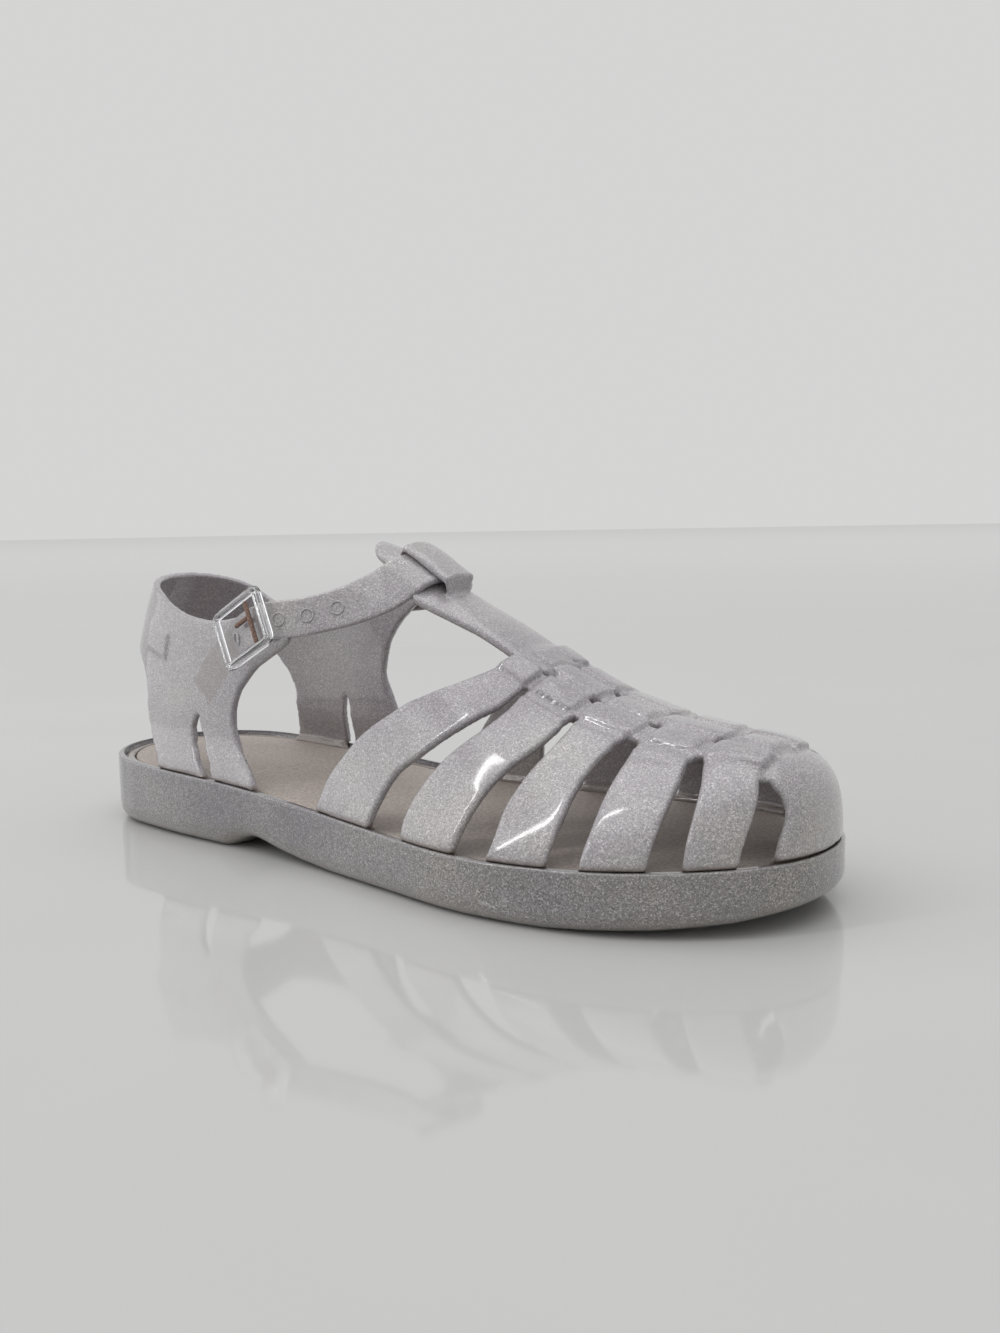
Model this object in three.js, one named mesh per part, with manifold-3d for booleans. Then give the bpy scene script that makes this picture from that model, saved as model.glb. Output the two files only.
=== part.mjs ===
// Jelly sandal, right shoe
// X runs from heel to toe, Y to the inner side of the foot, Z up. Lengths are millimetres.
// The sole is a stack of rings. The moulded upper is a thin wall over the shape of a foot:
// the surface is written first, strips of wall are laid on it, and the gaps are cut out.
import * as THREE from 'three';
import Module from 'manifold-3d';

const wasm = await Module();
wasm.setup();

// Sizes that decide the whole shoe
const LENGTH = 256;
const BALL_WIDTH = 94;
const HEEL_RIM_HEIGHT = 21.9;
const INSTEP_HEIGHT = 94;
const COLLAR_HEIGHT = 81.5;

// Thicknesses and clearances
const WALL = 2.4;
const CLEARANCE = 0.3;
const RIM_WIDTH = 1.6;
const RECESS_DEPTH = 3.8;
const INSOLE_THICKNESS = 2.2;
const BAND_WIDTH = 2.6;
const SEAT = RIM_WIDTH + CLEARANCE;
const FOOT_INSET = 0.5;
const FOOT_RISE = 16;
const SIDE_INSET = 4.2;
const SIDE_RISE = 13;

// Ankle strap, bar on the instep and loop
const STRAP_WIDTH = 14.5;
const STRAP_SLIM = 0.78;
const STRAP_THICKNESS = 2.2;
const BAR_WIDTH = 25;
const LOOP_WIDTH = 10.5;
const LOOP_THICKNESS = 2.2;

// Buckle
const FRAME_LENGTH = 24;
const FRAME_HEIGHT = 18.6;
const FRAME_BAR = 2.2;
const FRAME_THICKNESS = 2.4;
const FRAME_CORNER = 3;
const FRAME_TILT = 27;
const PRONG_DIAMETER = 1.4;
const PRONG_LENGTH = 8;
const PRONG_AT = 4.5;
const STUD_DIAMETER = 7;
const STUD_THICKNESS = 1.4;

// Points round the sole
const RING_STEPS = 36;

// Outline of the sole: place along the length, half widths as shares of the ball width
const OUTLINE = [
  { at: 0.00, lateral: 0.330, medial: 0.352 },
  { at: 0.10, lateral: 0.359, medial: 0.368 },
  { at: 0.20, lateral: 0.388, medial: 0.379 },
  { at: 0.32, lateral: 0.398, medial: 0.351 },
  { at: 0.45, lateral: 0.420, medial: 0.346 },
  { at: 0.58, lateral: 0.474, medial: 0.401 },
  { at: 0.70, lateral: 0.521, medial: 0.479 },
  { at: 0.80, lateral: 0.500, medial: 0.497 },
  { at: 0.90, lateral: 0.427, medial: 0.471 },
  { at: 1.00, lateral: 0.354, medial: 0.413 },
];
const HEEL_ROUND = { share: 0.125, power: 2.15 };
const TOE_ROUND = { share: 0.17, power: 2.25 };

// Top and bottom of the sole, heights as shares of the heel rim height
const RIM = [
  { at: 0.00, height: 1.000 },
  { at: 0.30, height: 0.900 },
  { at: 0.50, height: 0.767 },
  { at: 0.70, height: 0.685 },
  { at: 0.85, height: 0.708 },
  { at: 1.00, height: 0.767 },
];
const BOTTOM = [
  { at: 0.000, height: 0.070 },
  { at: 0.040, height: 0.000 },
  { at: 0.298, height: 0.000 },
  { at: 0.328, height: 0.150 },
  { at: 0.350, height: 0.205 },
  { at: 0.366, height: 0.190 },
  { at: 0.405, height: 0.095 },
  { at: 0.445, height: 0.035 },
  { at: 0.490, height: 0.000 },
  { at: 0.800, height: 0.000 },
  { at: 0.900, height: 0.060 },
  { at: 0.960, height: 0.130 },
  { at: 1.000, height: 0.220 },
];

// Crest of the vamp, heights as shares of the instep height, and how square the section is on
// each side; the inner side of a foot is fuller
const CREST = [
  { at: 0.420, height: 0.982, lateral: 1.82, medial: 1.82 },
  { at: 0.445, height: 0.970, lateral: 1.80, medial: 1.85 },
  { at: 0.473, height: 0.945, lateral: 1.79, medial: 1.90 },
  { at: 0.503, height: 0.905, lateral: 1.78, medial: 1.96 },
  { at: 0.539, height: 0.842, lateral: 1.76, medial: 2.10 },
  { at: 0.578, height: 0.780, lateral: 1.74, medial: 2.30 },
  { at: 0.617, height: 0.722, lateral: 1.72, medial: 2.45 },
  { at: 0.656, height: 0.664, lateral: 1.71, medial: 2.45 },
  { at: 0.695, height: 0.604, lateral: 1.70, medial: 2.40 },
  { at: 0.734, height: 0.552, lateral: 1.70, medial: 2.40 },
  { at: 0.793, height: 0.497, lateral: 1.76, medial: 2.40 },
  { at: 0.852, height: 0.464, lateral: 1.84, medial: 2.40 },
  { at: 0.910, height: 0.446, lateral: 2.15, medial: 2.40 },
  { at: 0.984, height: 0.445, lateral: 2.55, medial: 2.60 },
];
const TOE_DOME = { from: 0.89, power: 3.3 };

// How far the vamp has drawn in from the outline once it is well above the sole
const DRAWN_IN = [
  { at: 0.00, inset: 3.7 },
  { at: 0.60, inset: 3.5 },
  { at: 0.80, inset: 2.9 },
  { at: 0.92, inset: 0.7 },
  { at: 1.00, inset: 0.1 },
];

// Rear edge of the first strap, from the rim (up 0) to the crest (up 1)
const THROAT = [
  { up: 0.00, at: 0.475 },
  { up: 0.06, at: 0.482 },
  { up: 0.12, at: 0.490 },
  { up: 0.20, at: 0.512 },
  { up: 0.27, at: 0.532 },
  { up: 0.36, at: 0.562 },
  { up: 0.43, at: 0.583 },
  { up: 0.51, at: 0.608 },
  { up: 0.61, at: 0.634 },
  { up: 0.73, at: 0.653 },
  { up: 0.82, at: 0.658 },
  { up: 1.00, at: 0.668 },
];

// Five gaps on each side between the straps, rear and front edge at each height
const GAPS = [
  [
    { up: 0.00, rear: 0.568, front: 0.617 },
    { up: 0.10, rear: 0.578, front: 0.621 },
    { up: 0.20, rear: 0.593, front: 0.632 },
    { up: 0.30, rear: 0.622, front: 0.648 },
    { up: 0.40, rear: 0.647, front: 0.666 },
    { up: 0.50, rear: 0.668, front: 0.682 },
    { up: 0.64, rear: 0.689, front: 0.694 },
  ],
  [
    { up: 0.00, rear: 0.694, front: 0.731 },
    { up: 0.13, rear: 0.702, front: 0.738 },
    { up: 0.25, rear: 0.712, front: 0.740 },
    { up: 0.40, rear: 0.728, front: 0.748 },
    { up: 0.55, rear: 0.746, front: 0.756 },
    { up: 0.70, rear: 0.752, front: 0.758 },
  ],
  [
    { up: 0.00, rear: 0.796, front: 0.824 },
    { up: 0.25, rear: 0.803, front: 0.830 },
    { up: 0.50, rear: 0.806, front: 0.830 },
    { up: 0.72, rear: 0.812, front: 0.826 },
  ],
  [
    { up: 0.00, rear: 0.883, front: 0.907 },
    { up: 0.30, rear: 0.889, front: 0.909 },
    { up: 0.50, rear: 0.889, front: 0.905 },
    { up: 0.67, rear: 0.883, front: 0.895 },
  ],
  [
    { up: 0.00, rear: 0.947, front: 0.966 },
    { up: 0.30, rear: 0.953, front: 0.970 },
    { up: 0.50, rear: 0.951, front: 0.965 },
    { up: 0.69, rear: 0.945, front: 0.948 },
  ],
];

// Weave on the crest: three strands over five cross straps, small holes in line with the gaps
const WEAVE_COLUMNS = [-0.115, 0, 0.115];
const WEAVE_PAD = { width: 0.085, raise: 0.9 };
const WEAVE_CROSS = [0.678, 0.722, 0.783, 0.858, 0.922];
const WEAVE_CROSS_LENGTH = 0.038;
const HOLE_PLACES = [0.694, 0.752, 0.820, 0.892];
const HOLE_LENGTH = 0.011;
const HOLE_WIDTH = 0.028;
const HOLE_SIDE = 0.075;

// Collar of the quarters, heights as shares of the collar height
const COLLAR = [
  { at: 0.000, lateral: 1.000, medial: 1.000 },
  { at: 0.050, lateral: 0.970, medial: 0.945 },
  { at: 0.100, lateral: 0.930, medial: 0.865 },
  { at: 0.140, lateral: 0.885, medial: 0.828 },
  { at: 0.190, lateral: 0.850, medial: 0.820 },
  { at: 0.250, lateral: 0.836, medial: 0.830 },
  { at: 0.300, lateral: 0.855, medial: 0.868 },
  { at: 0.350, lateral: 0.895, medial: 0.935 },
  { at: 0.385, lateral: 0.905, medial: 0.985 },
  { at: 0.420, lateral: 0.905, medial: 1.025 },
];
const QUARTER_REACH = 0.42;
const HEEL_LEAN = { share: 0.054, power: 2.6 };
const SIDE_LEAN = { heel: 0.16, front: 0.09 };

// Front edge of the quarters (C shape) and the window at the back of the heel
const FRONT_EDGE = [
  { height: 0.200, lateral: 0.3680, medial: 0.3600 },
  { height: 0.270, lateral: 0.3575, medial: 0.3660 },
  { height: 0.360, lateral: 0.3224, medial: 0.3710 },
  { height: 0.470, lateral: 0.3074, medial: 0.3570 },
  { height: 0.570, lateral: 0.3166, medial: 0.3450 },
  { height: 0.660, lateral: 0.3448, medial: 0.3500 },
  { height: 0.710, lateral: 0.3727, medial: 0.3570 },
  { height: 0.760, lateral: 0.4010, medial: 0.3680 },
  { height: 0.785, lateral: 0.4080, medial: 0.3750 },
  { height: 0.840, lateral: 0.3800, medial: 0.3960 },
  { height: 0.920, lateral: 0.3700, medial: 0.4250 },
  { height: 1.100, lateral: 0.3700, medial: 0.4350 },
];
const WINDOW = [
  { height: 0.000, lateral: 0.1780, medial: 0.1460 },
  { height: 0.270, lateral: 0.1770, medial: 0.1480 },
  { height: 0.300, lateral: 0.1700, medial: 0.1520 },
  { height: 0.360, lateral: 0.1470, medial: 0.1600 },
  { height: 0.420, lateral: 0.1316, medial: 0.1630 },
  { height: 0.470, lateral: 0.1270, medial: 0.1637 },
  { height: 0.540, lateral: 0.1245, medial: 0.1557 },
  { height: 0.600, lateral: 0.1180, medial: 0.1410 },
  { height: 0.655, lateral: 0.1020, medial: 0.1240 },
  { height: 0.700, lateral: 0.0700, medial: 0.0920 },
  { height: 0.725, lateral: 0.0300, medial: 0.0420 },
  { height: 0.730, lateral: -0.1000, medial: -0.1000 },
];

// Drain slot low in each quarter, rear and front edge at each height
const SLOTS = {
  lateral: [
    { height: 0.180, rear: 0.2860, front: 0.2980 },
    { height: 0.250, rear: 0.2710, front: 0.2866 },
    { height: 0.300, rear: 0.2540, front: 0.2767 },
    { height: 0.360, rear: 0.2362, front: 0.2592 },
    { height: 0.420, rear: 0.2306, front: 0.2481 },
    { height: 0.460, rear: 0.2360, front: 0.2446 },
    { height: 0.475, rear: 0.2400, front: 0.2410 },
  ],
  medial: [
    { height: 0.180, rear: 0.2420, front: 0.2570 },
    { height: 0.250, rear: 0.2450, front: 0.2620 },
    { height: 0.300, rear: 0.2500, front: 0.2670 },
    { height: 0.360, rear: 0.2560, front: 0.2710 },
    { height: 0.420, rear: 0.2600, front: 0.2720 },
    { height: 0.460, rear: 0.2620, front: 0.2700 },
    { height: 0.475, rear: 0.2650, front: 0.2660 },
  ],
};

// Ankle strap: its end lies on the inside of the outer quarter, dives through it under the rear
// bar of the buckle and lies on the outside from there
const STRAP_TAIL = [
  { at: 0.253, height: 0.572, turn: 58, outside: 0.0 },
  { at: 0.279, height: 0.670, turn: 46, outside: 0.0 },
  { at: 0.306, height: 0.735, turn: 36, outside: 0.4 },
  { at: 0.332, height: 0.790, turn: 29, outside: 1.0 },
  { at: 0.374, height: 0.842, turn: 16, outside: 1.0 },
];
const STRAP_FREE = [
  { at: 0.415, side: -0.300, height: 0.745, back: 12 },
  { at: 0.456, side: -0.230, height: 0.774, back: 24 },
  { at: 0.492, side: -0.150, height: 0.822, back: 38 },
];
const STRAP_OVER = [
  { at: 0.514, side: -0.075 },
  { at: 0.519, side: 0.000 },
  { at: 0.520, side: 0.075 },
];
const STRAP_MEDIAL = [
  { at: 0.494, side: 0.150, height: 0.838, back: 38 },
  { at: 0.454, side: 0.235, height: 0.830, back: 24 },
  { at: 0.412, side: 0.290, height: 0.810, back: 12 },
];

// Half widths of the bar on the instep as shares of its width; its upper end is a round tip
const BAR = [
  { at: 0.441, lateral: 0.320, medial: 0.320 },
  { at: 0.472, lateral: 0.325, medial: 0.325 },
  { at: 0.505, lateral: 0.400, medial: 0.420 },
  { at: 0.530, lateral: 0.490, medial: 0.520 },
  { at: 0.550, lateral: 0.472, medial: 0.520 },
  { at: 0.585, lateral: 0.400, medial: 0.520 },
  { at: 0.620, lateral: 0.336, medial: 0.520 },
  { at: 0.700, lateral: 0.320, medial: 0.480 },
];
const LOOP = { at: 0.521, reach: 8.55 };

// Smooth curve through a table; the result is exact at each row
function read(table, key, column, place) {
  const last = table.length - 1;
  const x = Math.min(Math.max(place, table[0][key]), table[last][key]);
  let i = 0;
  while (i < last - 1 && x > table[i + 1][key]) i += 1;
  const slope = (k) => {
    const a = table[Math.max(k - 1, 0)];
    const b = table[Math.min(k + 1, last)];
    return (b[column] - a[column]) / (b[key] - a[key]);
  };
  const span = table[i + 1][key] - table[i][key];
  const s = (x - table[i][key]) / span;
  return (2 * s ** 3 - 3 * s ** 2 + 1) * table[i][column]
    + (s ** 3 - 2 * s ** 2 + s) * span * slope(i)
    + (3 * s ** 2 - 2 * s ** 3) * table[i + 1][column]
    + (s ** 3 - s ** 2) * span * slope(i + 1);
}

// Straight lines through a table, for edges that must stay where they are
function readStraight(table, key, column, place) {
  const last = table.length - 1;
  const x = Math.min(Math.max(place, table[0][key]), table[last][key]);
  let i = 0;
  while (i < last - 1 && x > table[i + 1][key]) i += 1;
  const s = (x - table[i][key]) / (table[i + 1][key] - table[i][key]);
  return table[i][column] * (1 - s) + table[i + 1][column] * s;
}

// Rounded end of a curve: 1 at the start, 0 at the end
function roundEnd(share, power) {
  const u = Math.min(Math.max(share, 0), 1);
  return Math.pow(Math.max(1 - Math.pow(u, power), 0), 1 / power);
}

// Half width of the outline drawn in by inset, side -1 is the outer side of the foot
function halfWidth(t, side, inset) {
  const column = side < 0 ? 'lateral' : 'medial';
  let half = read(OUTLINE, 'at', column, t) * BALL_WIDTH - inset;
  half *= roundEnd(1 - t / HEEL_ROUND.share, HEEL_ROUND.power);
  half *= roundEnd((t - 1 + TOE_ROUND.share) / TOE_ROUND.share, TOE_ROUND.power);
  return half;
}

function along(t, inset) {
  return (2 * t - 1) * (LENGTH / 2 - inset);
}

function shareAt(x, inset) {
  return Math.min(Math.max(0.5 + x / (LENGTH - 2 * inset), 0), 1);
}

const rimHeight = (t) => read(RIM, 'at', 'height', t) * HEEL_RIM_HEIGHT;
const bottomHeight = (t) => readStraight(BOTTOM, 'at', 'height', t) * HEEL_RIM_HEIGHT;
const bedHeight = (t) => rimHeight(t) - RECESS_DEPTH;

// Closed body from loose corners: equal corners are joined, collapsed triangles dropped
function body(corners, faces) {
  const found = new Map();
  const points = [];
  const index = corners.map((p) => {
    const name = [p.x, p.y, p.z].map((value) => Math.round(value * 1e5)).join(' ');
    if (!found.has(name)) {
      found.set(name, points.length / 3);
      points.push(p.x, p.y, p.z);
    }
    return found.get(name);
  });
  const triangles = [];
  for (const face of faces) {
    const [a, b, c] = face.map((k) => index[k]);
    if (a !== b && b !== c && c !== a) triangles.push(a, b, c);
  }
  return new wasm.Manifold(new wasm.Mesh({
    numProp: 3,
    vertProperties: new Float32Array(points),
    triVerts: new Uint32Array(triangles),
  }));
}

// Wall between two sheets: place(u, v, 1) is the outer sheet and place(u, v, 0) the inner
function wall(rows, columns, place) {
  const corners = [];
  const wide = columns + 1;
  const sheet = (rows + 1) * wide;
  for (const face of [1, 0]) {
    for (let i = 0; i <= rows; i += 1) {
      for (let j = 0; j <= columns; j += 1) corners.push(place(i / rows, j / columns, face));
    }
  }
  const faces = [];
  const quad = (a, b, c, d) => faces.push([a, b, c], [a, c, d]);
  for (let i = 0; i < rows; i += 1) {
    for (let j = 0; j < columns; j += 1) {
      const a = i * wide + j;
      quad(a, a + wide, a + wide + 1, a + 1);
      quad(sheet + a, sheet + a + 1, sheet + a + wide + 1, sheet + a + wide);
    }
  }
  for (let i = 0; i < rows; i += 1) {
    const a = i * wide;
    const b = a + columns;
    quad(a, sheet + a, sheet + a + wide, a + wide);
    quad(b, b + wide, sheet + b + wide, sheet + b);
  }
  for (let j = 0; j < columns; j += 1) {
    const b = rows * wide + j;
    quad(j, j + 1, sheet + j + 1, sheet + j);
    quad(b, sheet + b, sheet + b + 1, b + 1);
  }
  const solid = body(corners, faces);
  return solid.volume() < 0 ? body(corners, faces.map(([a, b, c]) => [a, c, b])) : solid;
}

// Solid from three.js geometry
function solidOf(geometry) {
  const flat = geometry.index ? geometry.toNonIndexed() : geometry;
  const place = flat.attributes.position;
  const corners = [];
  const faces = [];
  for (let i = 0; i < place.count; i += 1) {
    corners.push(new THREE.Vector3().fromBufferAttribute(place, i));
    if (i % 3 === 2) faces.push([i - 2, i - 1, i]);
  }
  return body(corners, faces);
}

// One ring of the sole, inset from the outline, at a height that follows the length
function ring(inset, height) {
  const points = [];
  for (let k = 0; k < 2 * RING_STEPS; k += 1) {
    const turn = (Math.PI * k) / RING_STEPS;
    const t = (1 + Math.cos(turn)) / 2;
    const side = k <= RING_STEPS ? 1 : -1;
    const y = side * halfWidth(t, side, inset);
    points.push(new THREE.Vector3(along(t, inset), k % RING_STEPS ? y : 0, height(t)));
  }
  return points;
}

// Closed body from rings laid one after another; a hoop joins its last ring to its first
function stack(rings, hoop = false) {
  const count = 2 * RING_STEPS;
  const corners = rings.flat();
  const faces = [];
  const joins = hoop ? rings.length : rings.length - 1;
  for (let r = 0; r < joins; r += 1) {
    const a = r * count;
    const b = ((r + 1) % rings.length) * count;
    for (let k = 0; k < count; k += 1) {
      const n = (k + 1) % count;
      faces.push([a + k, a + n, b + n], [a + k, b + n, b + k]);
    }
  }
  if (!hoop) {
    const top = (rings.length - 1) * count;
    for (let k = 0; k < RING_STEPS; k += 1) {
      const m = (count - k) % count;
      const n = count - k - 1;
      faces.push([k + 1, k, m], [k + 1, m, n]);
      faces.push([top + k, top + k + 1, top + n], [top + k, top + n, top + m]);
    }
  }
  return body(corners, faces);
}

// Distance from the outline: small at the foot, larger once the wall has risen
function drawIn(rise, full, height) {
  return FOOT_INSET + (full - FOOT_INSET) * THREE.MathUtils.smoothstep(rise, 0, height);
}

// Point on the vamp: across is -1 at the outer rim, 0 on the crest, 1 at the inner rim
function vampBare(t, across) {
  const side = across < 0 ? -1 : 1;
  const up = Math.max(1 - Math.abs(across), 0);
  const low = rimHeight(t) + CLEARANCE;
  const dome = roundEnd((t - TOE_DOME.from) / (1 - TOE_DOME.from), TOE_DOME.power);
  const place = along(t, SIDE_INSET) / LENGTH + 0.5;
  const high = low + (read(CREST, 'at', 'height', place) * INSTEP_HEIGHT - low) * dome;
  const power = 2 / read(CREST, 'at', side < 0 ? 'lateral' : 'medial', place);
  const turn = (up * Math.PI) / 2;
  const z = low + (high - low) * Math.pow(Math.sin(turn), power);
  const inset = drawIn(z - low, read(DRAWN_IN, 'at', 'inset', t), FOOT_RISE);
  const half = halfWidth(t, side, inset);
  const y = side * half * Math.pow(Math.max(Math.cos(turn), 0), power);
  const below = Math.max(Math.abs(across) - 1, 0) * 20;
  return new THREE.Vector3(along(t, inset), y, z - below);
}

// Foot of a wall: it steps in over the rim and stands in the recess; deep is 1 at its lower end
function foot(t, side, deep, face) {
  const inset = SEAT + 0.1 + (face ? 0 : WALL / 2);
  const z = rimHeight(t) + CLEARANCE - deep * (RECESS_DEPTH - 0.4);
  return new THREE.Vector3(along(t, inset), side * halfWidth(t, side, inset), z);
}

// The same point moved off the surface by lift
function vamp(t, across, lift = 0) {
  const point = vampBare(Math.min(t, 1), across);
  if (lift === 0) return point;
  if (t > 0.9995) return point.add(new THREE.Vector3(lift, 0, 0));
  const near = Math.min(t, 0.996);
  const held = Math.min(Math.max(across, -0.985), 0.985);
  const a = vampBare(near - 0.003, held).sub(vampBare(near + 0.003, held));
  const b = vampBare(near, held - 0.012).sub(vampBare(near, held + 0.012));
  return point.add(a.cross(b).normalize().multiplyScalar(lift));
}

// Share of the length measured on the outline, turned into the share used on the vamp
const onVamp = (at) => shareAt((at - 0.5) * LENGTH, SIDE_INSET);

// Across value of a point that lies y from the middle of the crest
function acrossAt(t, y) {
  const side = y < 0 ? -1 : 1;
  const place = along(t, SIDE_INSET) / LENGTH + 0.5;
  const power = read(CREST, 'at', side < 0 ? 'lateral' : 'medial', place) / 2;
  const inset = read(DRAWN_IN, 'at', 'inset', t);
  const share = Math.min(Math.abs(y) / halfWidth(t, side, inset), 1);
  return side * (1 - (2 / Math.PI) * Math.acos(Math.pow(share, power)));
}

// Point on a quarter: around is -1 at the outer front end, 0 at the back of the heel
function quarterBare(around, up) {
  const side = around < 0 ? -1 : 1;
  const column = side < 0 ? 'lateral' : 'medial';
  const t = QUARTER_REACH * around * around;
  const low = rimHeight(t) + CLEARANCE;
  const high = read(COLLAR, 'at', column, t) * COLLAR_HEIGHT;
  const z = low + (high - low) * up;
  const rise = (z - low) / (COLLAR_HEIGHT - low);
  const front = Math.abs(around);
  const bent = Math.pow(Math.max(rise, 0), HEEL_LEAN.power);
  const lean = HEEL_LEAN.share * LENGTH * bent * (1 - front ** 2);
  const narrow = SIDE_LEAN.heel + (SIDE_LEAN.front - SIDE_LEAN.heel) * front ** 2;
  const inset = drawIn(z - low, SIDE_INSET, SIDE_RISE);
  const half = halfWidth(t, side, inset) * (1 - narrow * Math.max(rise, 0));
  return new THREE.Vector3(along(t, inset) + lean, side * half, z);
}

function quarter(around, up, lift = 0) {
  const point = quarterBare(around, up);
  if (lift === 0) return point;
  const held = Math.min(Math.max(up, 0.03), 0.97);
  const a = quarterBare(around - 0.02, held).sub(quarterBare(around + 0.02, held));
  const b = quarterBare(around, held + 0.02).sub(quarterBare(around, held - 0.02));
  return point.add(a.cross(b).normalize().multiplyScalar(lift));
}

// Point on a quarter that has the wanted place along the length and height
function quarterAt(side, at, height, lift) {
  const x = (at - 0.5) * LENGTH;
  const z = height * COLLAR_HEIGHT;
  let around = Math.sqrt(shareAt(x, SIDE_INSET) / QUARTER_REACH);
  let up = 0.5;
  for (let turn = 0; turn < 30; turn += 1) {
    const point = quarterBare(side * around, up);
    up += (z - point.z) / 60;
    around = Math.min(Math.max(around + (x - point.x) / 260, 0.02), 1.1);
  }
  return { point: quarter(side * around, up, lift), around: side * around, up };
}

// Direction that points out of a quarter at the place found above
function outOfQuarter(place) {
  return quarter(place.around, place.up, 1).sub(quarter(place.around, place.up, 0)).normalize();
}

// Plate drawn in the XZ plane and pushed through the shoe from one side to the other
function plate(outline, fromY, toY) {
  const shape = new THREE.Shape(outline.map(([x, z]) => new THREE.Vector2(x, z)));
  const geometry = new THREE.ExtrudeGeometry(shape, { depth: toY - fromY, bevelEnabled: false });
  geometry.rotateX(Math.PI / 2);
  geometry.translate(0, toY, 0);
  return solidOf(geometry);
}

// Wall of the vamp from the rear edge of the first strap to the toe
function vampWall() {
  const start = (across) => {
    const up = Math.max(1 - Math.abs(across), 0);
    return onVamp(read(THROAT, 'up', 'at', up));
  };
  return wall(22, 26, (u, v, face) => {
    const column = Math.round(v * 26) - 13;
    const steps = Math.abs(column);
    const across = Math.sign(column) * Math.min(steps / 11, 1);
    const run = Math.sin((u * Math.PI) / 2);
    const share = start(across) + (1 - start(across)) * (0.45 * u + 0.55 * run);
    const t = u === 1 ? 1 : share;
    if (steps > 11) return foot(t, Math.sign(column), steps - 12, face);
    return vamp(t, across, face ? 0 : -WALL);
  });
}

// Cutter for one gap of the vamp on one side
function gapCutter(rows, side) {
  const top = rows[rows.length - 1].up;
  return wall(9, 1, (u, v, face) => {
    const up = u * top;
    const rear = read(rows, 'up', 'rear', up);
    const front = read(rows, 'up', 'front', up);
    const across = side * (1 - up + (u === 0 ? 0.05 : 0));
    return vamp(onVamp(v ? front : rear), across, face ? 4 : -WALL - 4);
  });
}

// Patch of material or air laid on the vamp, centred at (at, y), from lift low to lift high
function vampPatch(at, y, length, width, low, high, rows = 1, columns = 1) {
  return wall(rows, columns, (u, v, face) => {
    const t = onVamp(at + (u - 0.5) * length);
    return vamp(t, acrossAt(t, y + (v - 0.5) * width), face ? high : low);
  });
}

// Raised pads of the weave: at each crossing either the strand or the cross strap is on top
function weavePads() {
  const pads = [];
  WEAVE_CROSS.forEach((at, row) => {
    WEAVE_COLUMNS.forEach((share, column) => {
      const over = (row + column) % 2 === 1;
      const width = WEAVE_PAD.width * BALL_WIDTH;
      const length = over ? WEAVE_CROSS_LENGTH * 1.25 : WEAVE_CROSS_LENGTH * 0.8;
      if (over) pads.push(vampPatch(at, share * BALL_WIDTH, length, width, -1, WEAVE_PAD.raise));
    });
  });
  return pads;
}

function weaveHoles() {
  const holes = [];
  for (const at of HOLE_PLACES) {
    for (const side of [-1, 1]) {
      const y = side * HOLE_SIDE * BALL_WIDTH;
      holes.push(vampPatch(at, y, HOLE_LENGTH, HOLE_WIDTH * BALL_WIDTH, -WALL - 3, 3));
    }
  }
  return holes;
}

// Bar on the instep with a rounded upper end; it runs under the ankle strap
function bar() {
  const start = BAR[0].at;
  const end = BAR[BAR.length - 1].at;
  return wall(16, 6, (u, v, face) => {
    const at = start + (end - start) * u ** 1.25;
    const tip = Math.min((at - start) * LENGTH / (BAR_WIDTH * BAR[0].lateral), 1);
    const round = Math.sqrt(Math.max(1 - (1 - tip) ** 2, 0.12));
    const y = (2 * v - 1) * read(BAR, 'at', v < 0.5 ? 'lateral' : 'medial', at) * BAR_WIDTH * round;
    const t = onVamp(at);
    return vamp(t, acrossAt(t, y), face ? 0.15 : -WALL - 0.15);
  });
}

// Loop of the bar that holds the ankle strap down
function loop() {
  const inside = 0.15 + CLEARANCE + STRAP_THICKNESS + CLEARANCE + 0.25;
  const reach = LOOP.reach / LENGTH;
  const spans = [-1.12, -1, -0.82, -0.4, 0, 0.4, 0.82, 1, 1.12];
  const lifts = [-0.6, 0.3, 0.93, 1, 1, 1, 0.93, 0.3, -0.6];
  return wall(spans.length - 1, 2, (u, v, face) => {
    const k = Math.round(u * (spans.length - 1));
    const t = onVamp(LOOP.at + spans[k] * reach);
    const low = Math.abs(spans[k]) < 0.9 ? inside * lifts[k] : lifts[k] - 0.6;
    const high = Math.abs(spans[k]) < 0.9 ? inside * lifts[k] + LOOP_THICKNESS
      : Math.max(inside * lifts[k] + LOOP_THICKNESS * 0.7, 0.4);
    return vamp(t, acrossAt(t, (2 * v - 1) * (LOOP_WIDTH / 2)), face ? high : low);
  });
}

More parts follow.
